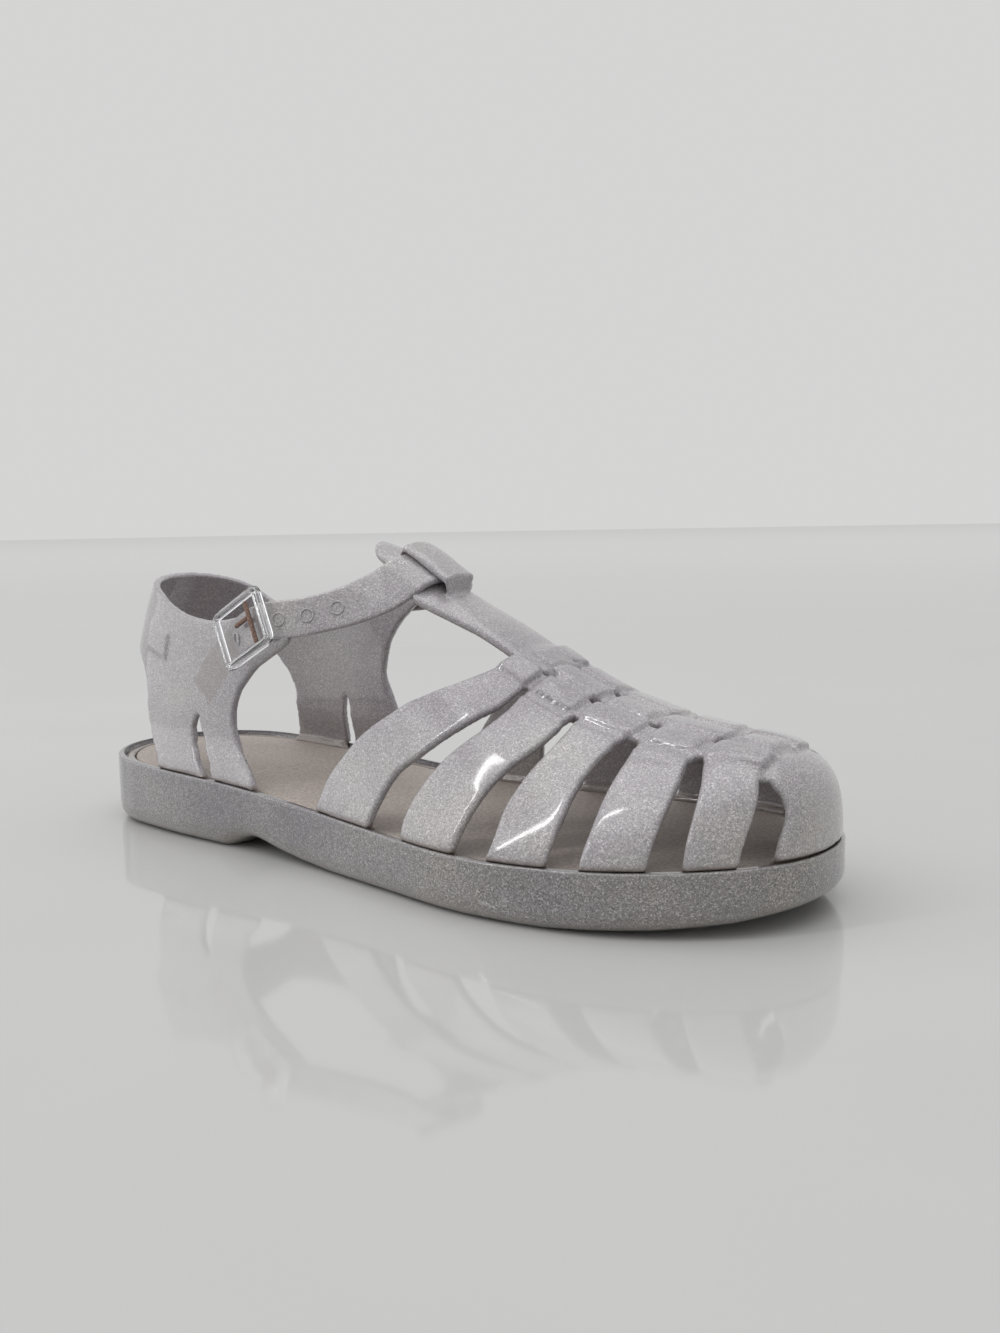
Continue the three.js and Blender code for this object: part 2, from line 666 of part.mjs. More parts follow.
// Stations of the ankle strap: centre, direction of its width, direction it faces
function strapStations() {
  const stations = [];
  const inside = -WALL - CLEARANCE - STRAP_THICKNESS / 2 - 0.15;
  const outside = STRAP_THICKNESS / 2 - 0.3;
  for (const row of STRAP_TAIL) {
    const lift = inside + (outside - inside) * row.outside;
    const place = quarterAt(-1, row.at, row.height, lift);
    const out = outOfQuarter(place);
    const turn = THREE.MathUtils.degToRad(row.turn);
    const wide = new THREE.Vector3(-Math.sin(turn), 0, Math.cos(turn));
    wide.addScaledVector(out, -wide.dot(out)).normalize();
    stations.push({ point: place.point, wide, out });
  }
  const free = (row) => {
    const point = new THREE.Vector3((row.at - 0.5) * LENGTH, row.side * BALL_WIDTH,
      row.height * INSTEP_HEIGHT);
    const back = THREE.MathUtils.degToRad(row.back);
    const wide = new THREE.Vector3(-Math.sin(back), -Math.sign(row.side) * 0.15, Math.cos(back));
    return { point, wide: wide.normalize(), out: null };
  };
  for (const row of STRAP_FREE) stations.push(free(row));
  for (const row of STRAP_OVER) {
    const t = onVamp(row.at);
    const across = acrossAt(t, row.side * BALL_WIDTH);
    const lift = 0.15 + CLEARANCE + STRAP_THICKNESS / 2 + 0.1;
    const point = vamp(t, across, lift);
    const ahead = vamp(onVamp(row.at - 0.02), across, lift);
    stations.push({ point, wide: ahead.sub(point).normalize(), out: null });
  }
  for (const row of STRAP_MEDIAL) stations.push(free(row));
  const end = quarterAt(1, 0.340, 0.915, -WALL / 2);
  stations.push({ point: end.point, wide: new THREE.Vector3(-0.1, 0, 1).normalize(), out: null });
  return stations;
}

function ankleStrap() {
  const stations = strapStations();
  const centre = new THREE.CatmullRomCurve3(stations.map((s) => s.point), false, 'centripetal');
  const count = stations.length - 1;
  return wall(42, 1, (u, v, face) => {
    const point = centre.getPoint(u);
    const slot = Math.min(Math.floor(u * count), count - 1);
    const part = u * count - slot;
    const wide = stations[slot].wide.clone().lerp(stations[slot + 1].wide, part);
    const run = centre.getTangent(u);
    wide.addScaledVector(run, -wide.dot(run)).normalize();
    const out = new THREE.Vector3().crossVectors(run, wide).normalize();
    const tip = Math.min(u * 24, 1);
    const slim = STRAP_SLIM + (1 - STRAP_SLIM) * THREE.MathUtils.smoothstep(u, 0.38, 0.54);
    const half = slim * (STRAP_WIDTH / 2) * Math.sqrt(Math.max(1 - (1 - tip) ** 2, 0.15));
    return point.addScaledVector(wide, (2 * v - 1) * half)
      .addScaledVector(out, (face - 0.5) * STRAP_THICKNESS);
  });
}

// Wall of the quarters round the heel, with window, slots and C-shaped front edges cut out
function quarterWall() {
  const levels = [0, 0, 0, 0.07, 0.14, 0.23, 0.42, 0.7, 1];
  let solid = wall(34, levels.length - 1, (u, v, face) => {
    const k = Math.round(v * (levels.length - 1));
    const around = 2 * u - 1;
    const side = around < 0 ? -1 : 1;
    if (k < 2) return foot(QUARTER_REACH * around ** 2, side, 1 - k, face);
    return quarter(around, levels[k], face ? 0 : -WALL);
  });
  const place = (row, at) => [(at - 0.5) * LENGTH, row.height * COLLAR_HEIGHT];
  const sides = [['lateral', -BALL_WIDTH, CLEARANCE], ['medial', -CLEARANCE, BALL_WIDTH]];
  for (const [column, fromY, toY] of sides) {
    const edge = FRONT_EDGE.map((row) => place(row, row[column]));
    const far = [[0, COLLAR_HEIGHT * 1.1], [0, COLLAR_HEIGHT * 0.2]];
    solid = solid.subtract(plate([...edge, ...far], fromY, toY));
    const arch = WINDOW.map((row) => place(row, row[column]));
    solid = solid.subtract(plate([...arch, [-LENGTH, 0]], fromY, toY));
    const rear = SLOTS[column].map((row) => place(row, row.rear));
    const ahead = SLOTS[column].map((row) => place(row, row.front)).reverse();
    solid = solid.subtract(plate([...rear, ...ahead], fromY, toY));
  }
  return solid;
}

// Low band under the straps, seated in the recess of the sole
function band() {
  const low = (t) => bedHeight(t) + CLEARANCE;
  const high = (t) => rimHeight(t) - 1.2;
  const outer = SEAT;
  const inner = SEAT + BAND_WIDTH;
  return stack([ring(inner, low), ring(outer, low), ring(outer, high), ring(inner, high)], true);
}

function upper() {
  let front = vampWall();
  for (const rows of GAPS) {
    for (const side of [-1, 1]) front = front.subtract(gapCutter(rows, side));
  }
  for (const hole of weaveHoles()) front = front.subtract(hole);
  for (const pad of weavePads()) front = front.add(pad);
  return band().add(front).add(quarterWall()).add(bar()).add(loop()).add(ankleStrap());
}

function outsole() {
  const low = bottomHeight;
  const high = rimHeight;
  return stack([
    ring(6, low),
    ring(1.4, (t) => low(t) + 1.2),
    ring(0, (t) => low(t) + 4),
    ring(0, (t) => high(t) - 0.7),
    ring(0.6, high),
    ring(RIM_WIDTH, high),
    ring(RIM_WIDTH, bedHeight),
  ]);
}

function insole() {
  const inset = SEAT + BAND_WIDTH + CLEARANCE;
  const low = (t) => bedHeight(t) + CLEARANCE;
  const high = (t) => low(t) + INSOLE_THICKNESS;
  return stack([ring(inset, low), ring(inset, high)]);
}

// Place and directions of the buckle on the outer quarter
function buckleSeat() {
  const place = quarterAt(-1, 0.346, 0.815, 0);
  const out = outOfQuarter(place);
  const tilt = THREE.MathUtils.degToRad(FRAME_TILT);
  const run = new THREE.Vector3(Math.cos(tilt), 0, Math.sin(tilt));
  run.addScaledVector(out, -run.dot(out)).normalize();
  const wide = new THREE.Vector3().crossVectors(out, run).normalize();
  return { point: place.point, run, wide, out };
}

function seated(geometry, seat, lift) {
  const basis = new THREE.Matrix4().makeBasis(seat.run, seat.wide, seat.out);
  basis.setPosition(seat.point.clone().addScaledVector(seat.out, lift));
  geometry.applyMatrix4(basis);
  return solidOf(geometry);
}

function roundedRectangle(width, height, corner) {
  const shape = new THREE.Shape();
  const w = width / 2;
  const h = height / 2;
  shape.moveTo(-w + corner, -h);
  shape.lineTo(w - corner, -h);
  shape.absarc(w - corner, -h + corner, corner, -Math.PI / 2, 0);
  shape.absarc(w - corner, h - corner, corner, 0, Math.PI / 2);
  shape.absarc(-w + corner, h - corner, corner, Math.PI / 2, Math.PI);
  shape.absarc(-w + corner, -h + corner, corner, Math.PI, Math.PI * 1.5);
  return shape;
}

const FRAME_LIFT = STRAP_THICKNESS + CLEARANCE + 0.5;

function buckleFrame(seat) {
  const shape = roundedRectangle(FRAME_LENGTH, FRAME_HEIGHT, FRAME_CORNER);
  const inner = roundedRectangle(FRAME_LENGTH - 2 * FRAME_BAR, FRAME_HEIGHT - 2 * FRAME_BAR,
    FRAME_CORNER / 2);
  shape.holes.push(inner);
  const geometry = new THREE.ExtrudeGeometry(shape, {
    depth: FRAME_THICKNESS, bevelEnabled: false, curveSegments: 4,
  });
  return seated(geometry, seat, FRAME_LIFT);
}

// Steel pin across the opening of the frame, and the prong that turns on it
function bucklePin(seat) {
  const radius = PRONG_DIAMETER / 2;
  const across = FRAME_HEIGHT - 2 * FRAME_BAR - 2 * CLEARANCE;
  const pin = new THREE.CapsuleGeometry(radius, across - PRONG_DIAMETER, 3, 10);
  pin.translate(PRONG_AT, 0, 0);
  const prong = new THREE.CapsuleGeometry(radius, PRONG_LENGTH - PRONG_DIAMETER, 3, 10);
  prong.rotateZ(Math.PI / 2);
  prong.translate(PRONG_AT - PRONG_LENGTH / 2 + radius, 1.8, 0);
  const lift = FRAME_LIFT + radius + 0.2;
  return seated(pin, seat, lift).add(seated(prong, seat, lift));
}

function stud() {
  const place = quarterAt(-1, 0.290, 0.690, 0);
  const out = outOfQuarter(place);
  const depth = WALL + CLEARANCE + STRAP_THICKNESS + CLEARANCE + STUD_THICKNESS / 2 + 0.5;
  const run = new THREE.Vector3(1, 0, 0).addScaledVector(out, -out.x).normalize();
  const wide = new THREE.Vector3().crossVectors(out, run).normalize();
  const geometry = new THREE.CylinderGeometry(STUD_DIAMETER / 2, STUD_DIAMETER / 2 - 0.5,
    STUD_THICKNESS, 20);
  geometry.rotateX(-Math.PI / 2);
  return seated(geometry, { point: place.point, run, wide, out }, -depth);
}

// Middle of the outline, so that the widest points lie the same distance from the X axis
function middle() {
  let lateral = 0;
  let medial = 0;
  for (const point of ring(0, () => 0)) {
    lateral = Math.min(lateral, point.y);
    medial = Math.max(medial, point.y);
  }
  return (lateral + medial) / 2;
}

function mesh(name, solid, colour, shift) {
  const { vertProperties, triVerts } = solid.getMesh();
  const geometry = new THREE.BufferGeometry();
  geometry.setAttribute('position', new THREE.BufferAttribute(new Float32Array(vertProperties), 3));
  geometry.setIndex(new THREE.BufferAttribute(new Uint32Array(triVerts), 1));
  geometry.translate(0, -shift, 0);
  const piece = new THREE.Mesh(geometry, new THREE.MeshStandardMaterial({ color: colour }));
  piece.name = name;
  return piece;
}

const shift = middle();
const seat = buckleSeat();
const sandal = new THREE.Group();
sandal.name = 'jelly_sandal';
sandal.add(mesh('outsole', outsole(), 0x9a959b, shift));
sandal.add(mesh('insole', insole(), 0xb9ada4, shift));
sandal.add(mesh('upper', upper(), 0xa8a2a9, shift));
sandal.add(mesh('buckle_frame', buckleFrame(seat), 0xd8d8d8, shift));
sandal.add(mesh('buckle_prong', bucklePin(seat), 0x8a7a60, shift));
sandal.add(mesh('strap_stud', stud(), 0x6b6248, shift));

export default sandal;
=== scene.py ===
# %% [markdown]
# # Jelly sandal, right shoe
# A fisherman sandal moulded from clear soft plastic full of silver glitter. The real one comes out
# of its mould in one shot: sole, side panels and woven straps. A loose footbed lies in the sole,
# and an ankle strap runs through a clear buckle on the outer side.
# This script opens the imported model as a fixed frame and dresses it: each form is made again from
# the same tables as the part, with round edges, a real weave and a finish.

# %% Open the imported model
import math
import bmesh
import bpy
import numpy as np
from mathutils import Matrix, Vector


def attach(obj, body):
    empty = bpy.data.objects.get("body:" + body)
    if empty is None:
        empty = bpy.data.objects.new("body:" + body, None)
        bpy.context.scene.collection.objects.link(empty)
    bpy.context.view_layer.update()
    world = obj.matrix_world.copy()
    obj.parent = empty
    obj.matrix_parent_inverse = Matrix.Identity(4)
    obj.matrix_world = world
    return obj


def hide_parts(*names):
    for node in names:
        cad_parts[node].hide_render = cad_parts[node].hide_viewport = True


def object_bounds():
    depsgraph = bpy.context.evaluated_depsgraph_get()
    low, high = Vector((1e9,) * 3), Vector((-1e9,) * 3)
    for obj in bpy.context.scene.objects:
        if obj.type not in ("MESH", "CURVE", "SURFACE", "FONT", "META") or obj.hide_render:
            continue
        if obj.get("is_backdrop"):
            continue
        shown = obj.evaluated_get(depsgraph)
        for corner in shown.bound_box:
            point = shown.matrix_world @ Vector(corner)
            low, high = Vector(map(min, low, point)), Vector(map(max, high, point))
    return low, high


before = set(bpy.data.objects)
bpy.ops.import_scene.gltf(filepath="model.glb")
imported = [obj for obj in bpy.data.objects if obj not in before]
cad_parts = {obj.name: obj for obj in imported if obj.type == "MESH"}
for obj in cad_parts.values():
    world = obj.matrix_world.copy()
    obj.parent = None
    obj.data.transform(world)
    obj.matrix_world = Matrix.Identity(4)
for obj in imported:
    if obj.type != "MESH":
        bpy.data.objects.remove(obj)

cad_low, cad_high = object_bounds()
print("model box:", [round(v, 4) for v in cad_low], [round(v, 4) for v in cad_high])

# %% [markdown]
# ## Camera
# The camera comes first, because it tells whether a form is right. Its place was worked out from
# the known length of the shoe and from points of the rim, heel and toe in the picture: it stands a
# bit over a third of a metre off, low, in front of the outer side. The roll is one degree.

# %% Camera at the photograph's angle
AZIMUTH, ELEVATION, ROLL = (math.radians(v) for v in (38.31, 6.27, -1.01))
STAND, LENS = (0.24892, -0.27679, 0.09475), 34.05  # metres, millimetres


def in_scene(made):
    bpy.context.scene.collection.objects.link(made)
    return made


back = Vector((math.sin(AZIMUTH) * math.cos(ELEVATION),
               -math.cos(AZIMUTH) * math.cos(ELEVATION), math.sin(ELEVATION)))
level = Vector((math.cos(AZIMUTH), math.sin(AZIMUTH), 0))
plumb = back.cross(level)
side_way = level * math.cos(ROLL) + plumb * math.sin(ROLL)
up_way = plumb * math.cos(ROLL) - level * math.sin(ROLL)
camera = in_scene(bpy.data.objects.new("camera", bpy.data.cameras.new("camera")))
turn = Matrix((side_way, up_way, back)).transposed().to_4x4()
camera.matrix_world = Matrix.Translation(STAND) @ turn
camera.data.lens = LENS
camera.data.clip_start = 0.01
bpy.context.scene.camera = camera
print("camera at", [round(v, 3) for v in camera.location])

# %% [markdown]
# ## The tables of the shoe
# A shoe has no straight line in it. Its maker starts from a last, a carved foot, and measures it
# in stations from heel to toe. The tables below are those stations, as shares of five sizes, and
# a smooth curve is drawn through each column. They are the same as in the part's source, so every
# form made from them lands where the solid one is.

# %% Sizes in millimetres
LENGTH, BALL_WIDTH, HEEL_RIM_HEIGHT, INSTEP_HEIGHT, COLLAR_HEIGHT = 256, 94, 21.9, 94, 81.5
WALL, CLEARANCE, RIM_WIDTH, RECESS_DEPTH = 2.4, 0.3, 1.6, 3.8
INSOLE_THICKNESS, BAND_WIDTH = 2.2, 2.6
SEAT = RIM_WIDTH + CLEARANCE
FOOT_INSET, FOOT_RISE, SIDE_INSET, SIDE_RISE, FOOT_DROP = 0.5, 16, 4.2, 13, 34

# %% Outline, rim and bottom of the sole: place along the shoe, then values
OUTLINE = np.array([  # at, lateral, medial
    (0, 0.33, 0.352), (0.1, 0.359, 0.368), (0.2, 0.388, 0.379), (0.32, 0.398, 0.351),
    (0.45, 0.42, 0.346), (0.58, 0.474, 0.401), (0.7, 0.521, 0.479), (0.8, 0.5, 0.497),
    (0.9, 0.427, 0.471), (1, 0.354, 0.413)])
RIM = np.array([(0, 1), (0.3, 0.9), (0.5, 0.767), (0.7, 0.685), (0.85, 0.708), (1, 0.767)])
BOTTOM = np.array([
    (0, 0.07), (0.04, 0), (0.298, 0), (0.328, 0.15), (0.35, 0.205), (0.366, 0.19), (0.405, 0.095),
    (0.445, 0.035), (0.49, 0), (0.8, 0), (0.9, 0.06), (0.96, 0.13), (1, 0.22)])

# %% Crest of the vamp and how far its sides draw in from the outline
CREST = np.array([  # at, height, power of the section on the outer side, on the inner side
    (0.42, 0.982, 1.82, 1.82), (0.445, 0.97, 1.8, 1.85), (0.473, 0.945, 1.79, 1.9),
    (0.503, 0.905, 1.78, 1.96), (0.539, 0.842, 1.76, 2.1), (0.578, 0.78, 1.74, 2.3),
    (0.617, 0.722, 1.72, 2.45), (0.656, 0.664, 1.71, 2.45), (0.695, 0.604, 1.7, 2.4),
    (0.734, 0.552, 1.7, 2.4), (0.793, 0.497, 1.76, 2.4), (0.852, 0.464, 1.84, 2.4),
    (0.91, 0.446, 2.15, 2.4), (0.984, 0.445, 2.55, 2.6)])
DRAWN_IN = np.array([(0, 3.7), (0.6, 3.5), (0.8, 2.9), (0.92, 0.7), (1, 0.1)])

# %% Throat and gaps of the straps: height up the side, rear edge, front edge
THROAT = np.array([
    (0, 0.475), (0.06, 0.482), (0.12, 0.49), (0.2, 0.512), (0.27, 0.532), (0.36, 0.562),
    (0.43, 0.583), (0.51, 0.608), (0.61, 0.634), (0.73, 0.653), (0.82, 0.658), (1, 0.668)])
GAPS = [np.array(rows) for rows in (
    [(0, 0.568, 0.617), (0.1, 0.578, 0.621), (0.2, 0.593, 0.632), (0.3, 0.622, 0.648),
     (0.4, 0.647, 0.666), (0.5, 0.668, 0.682), (0.64, 0.689, 0.694), (1, 0.696, 0.696)],
    [(0, 0.694, 0.731), (0.13, 0.702, 0.738), (0.25, 0.712, 0.74), (0.4, 0.728, 0.748),
     (0.55, 0.746, 0.756), (0.7, 0.752, 0.758), (1, 0.754, 0.754)],
    [(0, 0.796, 0.824), (0.25, 0.803, 0.83), (0.5, 0.806, 0.83), (0.72, 0.812, 0.826),
     (0.77, 0.818, 0.821), (1, 0.82, 0.82)],
    [(0, 0.883, 0.907), (0.3, 0.889, 0.909), (0.5, 0.889, 0.905), (0.67, 0.883, 0.895),
     (0.72, 0.886, 0.891), (1, 0.892, 0.892)],
    [(0, 0.947, 0.966), (0.3, 0.953, 0.97), (0.5, 0.951, 0.965), (0.69, 0.945, 0.948),
     (1, 0.946, 0.946)])]

# %% Collar of the side panels, their front edge and the window behind the heel
COLLAR = np.array([  # at, lateral, medial
    (0, 1, 1), (0.05, 0.97, 0.945), (0.1, 0.93, 0.865), (0.14, 0.885, 0.828),
    (0.19, 0.85, 0.82), (0.25, 0.836, 0.83), (0.3, 0.855, 0.868), (0.35, 0.895, 0.935),
    (0.385, 0.905, 0.985), (0.42, 0.905, 1.025)])
FRONT_EDGE = np.array([  # height, lateral, medial
    (0.2, 0.368, 0.36), (0.27, 0.3575, 0.366), (0.36, 0.3224, 0.371), (0.47, 0.3074, 0.357),
    (0.57, 0.3166, 0.345), (0.66, 0.3448, 0.35), (0.71, 0.3727, 0.357), (0.76, 0.401, 0.368),
    (0.785, 0.408, 0.375), (0.84, 0.38, 0.396), (0.92, 0.37, 0.425), (1.1, 0.37, 0.435)])
WINDOW = np.array([  # height, lateral, medial
    (0, 0.178, 0.146), (0.27, 0.177, 0.148), (0.3, 0.17, 0.152), (0.36, 0.147, 0.16),
    (0.42, 0.1316, 0.163), (0.47, 0.127, 0.1637), (0.54, 0.1245, 0.1557), (0.6, 0.118, 0.141),
    (0.655, 0.102, 0.124), (0.7, 0.07, 0.092), (0.725, 0.03, 0.042), (0.73, -0.1, -0.1)])
SLOTS = {  # drain slot on each side: height, rear edge, front edge
    -1: [(0.18, 0.286, 0.298), (0.25, 0.271, 0.2866), (0.3, 0.254, 0.2767), (0.36, 0.2362, 0.2592),
         (0.42, 0.2306, 0.2481), (0.46, 0.236, 0.2446), (0.475, 0.24, 0.241)],
    1: [(0.18, 0.242, 0.257), (0.25, 0.245, 0.262), (0.3, 0.25, 0.267), (0.36, 0.256, 0.271),
        (0.42, 0.26, 0.272), (0.46, 0.262, 0.27), (0.475, 0.265, 0.266)]}
QUARTER_REACH = 0.42

# %% [markdown]
# ## Curves through the tables
# numpy reads a whole column of places at once, so a strap of thousands of points is made in
# a blink. The curve through a table is a cubic with the slope of its neighbours at each row. The
# bottom of the sole keeps straight lines, because its step is crisp.

# %% Read a table
def ease(s):
    return s * s * (3 - 2 * s)


def cubic(s, start, end, leave, arrive):
    """From start to end, leaving and arriving at the given slopes."""
    return ((2 * s**3 - 3 * s**2 + 1) * start + (s**3 - 2 * s**2 + s) * leave
            + (3 * s**2 - 2 * s**3) * end + (s**3 - s**2) * arrive)


def read(rows, column, place):
    at, value = rows[:, 0], rows[:, column]
    x = np.clip(np.asarray(place, float), at[0], at[-1])
    k = np.arange(len(at))
    low, high = np.maximum(k - 1, 0), np.minimum(k + 1, len(at) - 1)
    slope = (value[high] - value[low]) / (at[high] - at[low])
    i = np.clip(np.searchsorted(at, x) - 1, 0, len(at) - 2)
    span = at[i + 1] - at[i]
    return cubic((x - at[i]) / span, value[i], value[i + 1], span * slope[i], span * slope[i + 1])


def sided(rows, side, place, outer=1):
    """The outer side's column where side is below 0, else the next one."""
    return np.where(np.asarray(side) < 0, read(rows, outer, place), read(rows, outer + 1, place))


def sign(v):
    return np.where(np.asarray(v) < 0, -1, 1)


def round_end(share, power):
    return (1 - np.clip(share, 0, 1) ** power) ** (1 / power)


# %% Outline of the sole, drawn in by an inset
def half_width(t, side, inset):
    half = sided(OUTLINE, side, t) * BALL_WIDTH
    return (half - inset) * round_end(1 - t / 0.125, 2.15) * round_end((t - 0.83) / 0.17, 2.25)


def along(t, inset):
    return (2 * t - 1) * (LENGTH / 2 - inset)


def rim_height(t):
    return read(RIM, 1, t) * HEEL_RIM_HEIGHT


def bed_height(t):
    return rim_height(t) - RECESS_DEPTH


def bottom_height(t):
    return np.interp(t, BOTTOM[:, 0], BOTTOM[:, 1]) * HEEL_RIM_HEIGHT


turns = np.linspace(0, np.pi, 37)
ring_places = (1 + np.cos(turns)) / 2
SHIFT = (half_width(ring_places, 1, 0).max() - half_width(ring_places, -1, 0).max()) / 2
print("the outline's middle lies", round(float(SHIFT), 3), "mm off the axis it was drawn on")

# %% [markdown]
# ## Shape of the foot
# Two surfaces carry the whole upper. The vamp is a tunnel whose sections are squashed circles
# that sink towards the toe. The heel panels are a cup that leans inwards as it rises. A point on
# either is named by two numbers, and a third lifts it off the surface along the surface's own
# direction, which is how walls get their thickness.

# %% Vamp: across is -1 at the outer rim, 0 on the crest, 1 at the inner rim
def on_vamp(at):
    return np.clip(0.5 + (np.asarray(at) - 0.5) * LENGTH / (LENGTH - 2 * SIDE_INSET), 0, 1)


def draw_in(rise, full, height):
    return FOOT_INSET + (full - FOOT_INSET) * ease(np.clip(rise / height, 0, 1))


def vamp_bare(t, across):
    """Point of the vamp; past 1 the foot of a strap steps in over the rim and down the recess."""
    up = np.maximum(1 - np.abs(across), 0)
    past = np.maximum(np.abs(across) - 1, 0)
    low = rim_height(t) + CLEARANCE
    place = along(t, SIDE_INSET) / LENGTH + 0.5
    high = low + (read(CREST, 1, place) * INSTEP_HEIGHT - low) * round_end((t - 0.89) / 0.11, 3.3)
    power = 2 / sided(CREST, across, place, 2)
    turned = up * np.pi / 2
    z = low + (high - low) * np.sin(turned) ** power
    inset = np.where(past > 0.002, SEAT + 0.15, draw_in(z - low, read(DRAWN_IN, 1, t), FOOT_RISE))
    half = half_width(t, across, inset) * np.maximum(np.cos(turned), 0) ** power
    return np.stack([along(t, inset), sign(across) * half, z - past * FOOT_DROP], -1)


def unit(v):
    return v / np.maximum(np.linalg.norm(v, axis=-1, keepdims=True), 1e-9)


def lifted(bare, place, near, steps, lift):
    """Point of a surface, lifted off it along the direction it has near there."""
    (u, v), (du, dv) = near, steps
    a, b = bare(u - du, v) - bare(u + du, v), bare(u, v - dv) - bare(u, v + dv)
    return bare(*place) + unit(np.cross(a, b)) * lift[..., None]


def vamp(t, across, lift):
    t, across, lift = np.broadcast_arrays(np.asarray(t, float), across, lift)
    near = np.minimum(t, 0.996), np.clip(across, -0.985, 0.985)
    return lifted(vamp_bare, (np.minimum(t, 1), across), near, (0.003, 0.012), lift)


def across_at(t, y):
    side = sign(y)
    power = sided(CREST, side, along(t, SIDE_INSET) / LENGTH + 0.5, 2) / 2
    share = np.minimum(np.abs(y) / half_width(t, side, read(DRAWN_IN, 1, t)), 1)
    return side * (1 - 2 / np.pi * np.arccos(share ** power))


# %% Side panels: around is -1 at the outer front end, 0 at the back of the heel
def quarter_bare(around, up):
    t = QUARTER_REACH * around**2
    low = rim_height(t) + CLEARANCE
    high = sided(COLLAR, around, t) * COLLAR_HEIGHT
    z = low + (high - low) * up
    rise = np.maximum((z - low) / (COLLAR_HEIGHT - low), 0)
    lean = 0.054 * LENGTH * rise**2.6 * (1 - around**2)
    inset = draw_in(z - low, SIDE_INSET, SIDE_RISE)
    half = half_width(t, around, inset) * (1 - (0.16 - 0.07 * around**2) * rise)
    return np.stack([along(t, inset) + lean, sign(around) * half, z], -1)


def quarter(around, up, lift):
    around, up, lift = np.broadcast_arrays(np.asarray(around, float), up, lift)
    near = around, np.clip(up, 0.03, 0.97)
    return lifted(quarter_bare, (around, up), near, (0.02, -0.02), lift)


def quarter_at(side, at, height, lift):
    x, z = (at - 0.5) * LENGTH, height * COLLAR_HEIGHT
    around, up = math.sqrt(max(0.5 + x / (LENGTH - 2 * SIDE_INSET), 0) / QUARTER_REACH), 0.5
    for _ in range(30):
        point = quarter_bare(np.array(side * around), np.array(up))
        up += (z - point[2]) / 60
        around = min(max(around + (x - point[0]) / 260, 0.02), 1.1)
    base, off = quarter(side * around, up, 0), quarter(side * around, up, 1)
    return base + (off - base) * lift, unit(off - base)


# %% [markdown]
# ## Turning points into meshes
# Every strap is a closed loop of points carried along a path: a sweep. Its section is
# a flat bar with round corners, since nothing that leaves a mould has a knife edge. Blender gets
# the mesh in metres.

# %% Mesh from arrays
def mesh_object(name, points, faces):
    points = np.asarray(points, float).reshape(-1, 3) - (0, SHIFT, 0)
    mesh = bpy.data.meshes.new(name)
    mesh.from_pydata((points / 1000).tolist(), [], faces)
    mesh.validate()
    return in_scene(bpy.data.objects.new(name, mesh))


def outward(made):
    """Weld the mesh and turn all its faces outwards."""
    made.data.update()
    work = bmesh.new()
    work.from_mesh(made.data)
    bmesh.ops.remove_doubles(work, verts=work.verts, dist=1e-7)
    bmesh.ops.recalc_face_normals(work, faces=work.faces)
    work.to_mesh(made.data)
    work.free()
    return made


def solid(name, points, faces):
    made = outward(mesh_object(name, points, faces))
    print(name, "has", len(made.data.polygons), "faces")
    return made


def worked_out(made):
    """What the object's modifiers make of it, as a plain mesh."""
    seen = made.evaluated_get(bpy.context.evaluated_depsgraph_get())
    return bpy.data.meshes.new_from_object(seen)


def triangles(mesh):
    return sum(len(face.vertices) - 2 for face in mesh.polygons)


def sweep(loops, hoop=False):
    """Points and faces of a closed solid from loops of points, all of the same number."""
    loops = np.asarray(loops)
    count, size = loops.shape[:2]
    i, j = np.meshgrid(np.arange(count if hoop else count - 1), np.arange(size), indexing="ij")
    a, b = i * size + j, i * size + (j + 1) % size
    step = (i + 1) % count * size
    c, d = step + (j + 1) % size, step + j
    faces = np.stack([a, b, c, d], -1).reshape(-1, 4).tolist()
    points = loops.reshape(-1, 3)
    if not hoop:
        points = np.concatenate([points, loops[:1].mean(1), loops[-1:].mean(1)])
        start, end = count * size, count * size + 1
        last = (count - 1) * size
        faces += [[(k + 1) % size, k, start] for k in range(size)]
        faces += [[last + k, last + (k + 1) % size, end] for k in range(size)]
    return points, faces


def joined(parts):
    points, faces, base = [], [], 0
    for p, f in parts:
        points.append(p)
        faces += [[k + base for k in face] for face in f]
        base += len(p)
    return np.concatenate(points), faces


# %% Section of a flat bar with round corners: how far across and how high, in millimetres
CORNERS = ((1, 1), (-1, 1), (-1, -1), (1, -1))


def bar_section(half, thick, corner, flat=6, bend=4):
    top = np.linspace(-1, 1, flat + 1)[1:-1]
    out = []
    for k, (sx, sz) in enumerate(CORNERS):
        angles = np.linspace(0, np.pi / 2, bend + 1) + k * np.pi / 2
        out += [(sx, sz, math.cos(a), math.sin(a)) for a in angles]
        if k % 2 == 0:
            out += [(v * (k - 1), sz, 0, sz) for v in top]
    sx, sz, turn_x, turn_z = np.array(out).T
    return sx * (half - corner) + turn_x * corner, sz * (thick / 2 - corner) + turn_z * corner


x, z = bar_section(8, 2.4, 0.9)
print("a strap's section has", len(x), "points")

# %% [markdown]
# ## Fusing what the mould fuses
# Straps that cross in a mould melt into one skin with soft corners. Blender can do the same:
# the sweeps are laid through each other, a voxel remesh wraps them in one even skin, and a few
# smoothing turns round what is left of the steps.

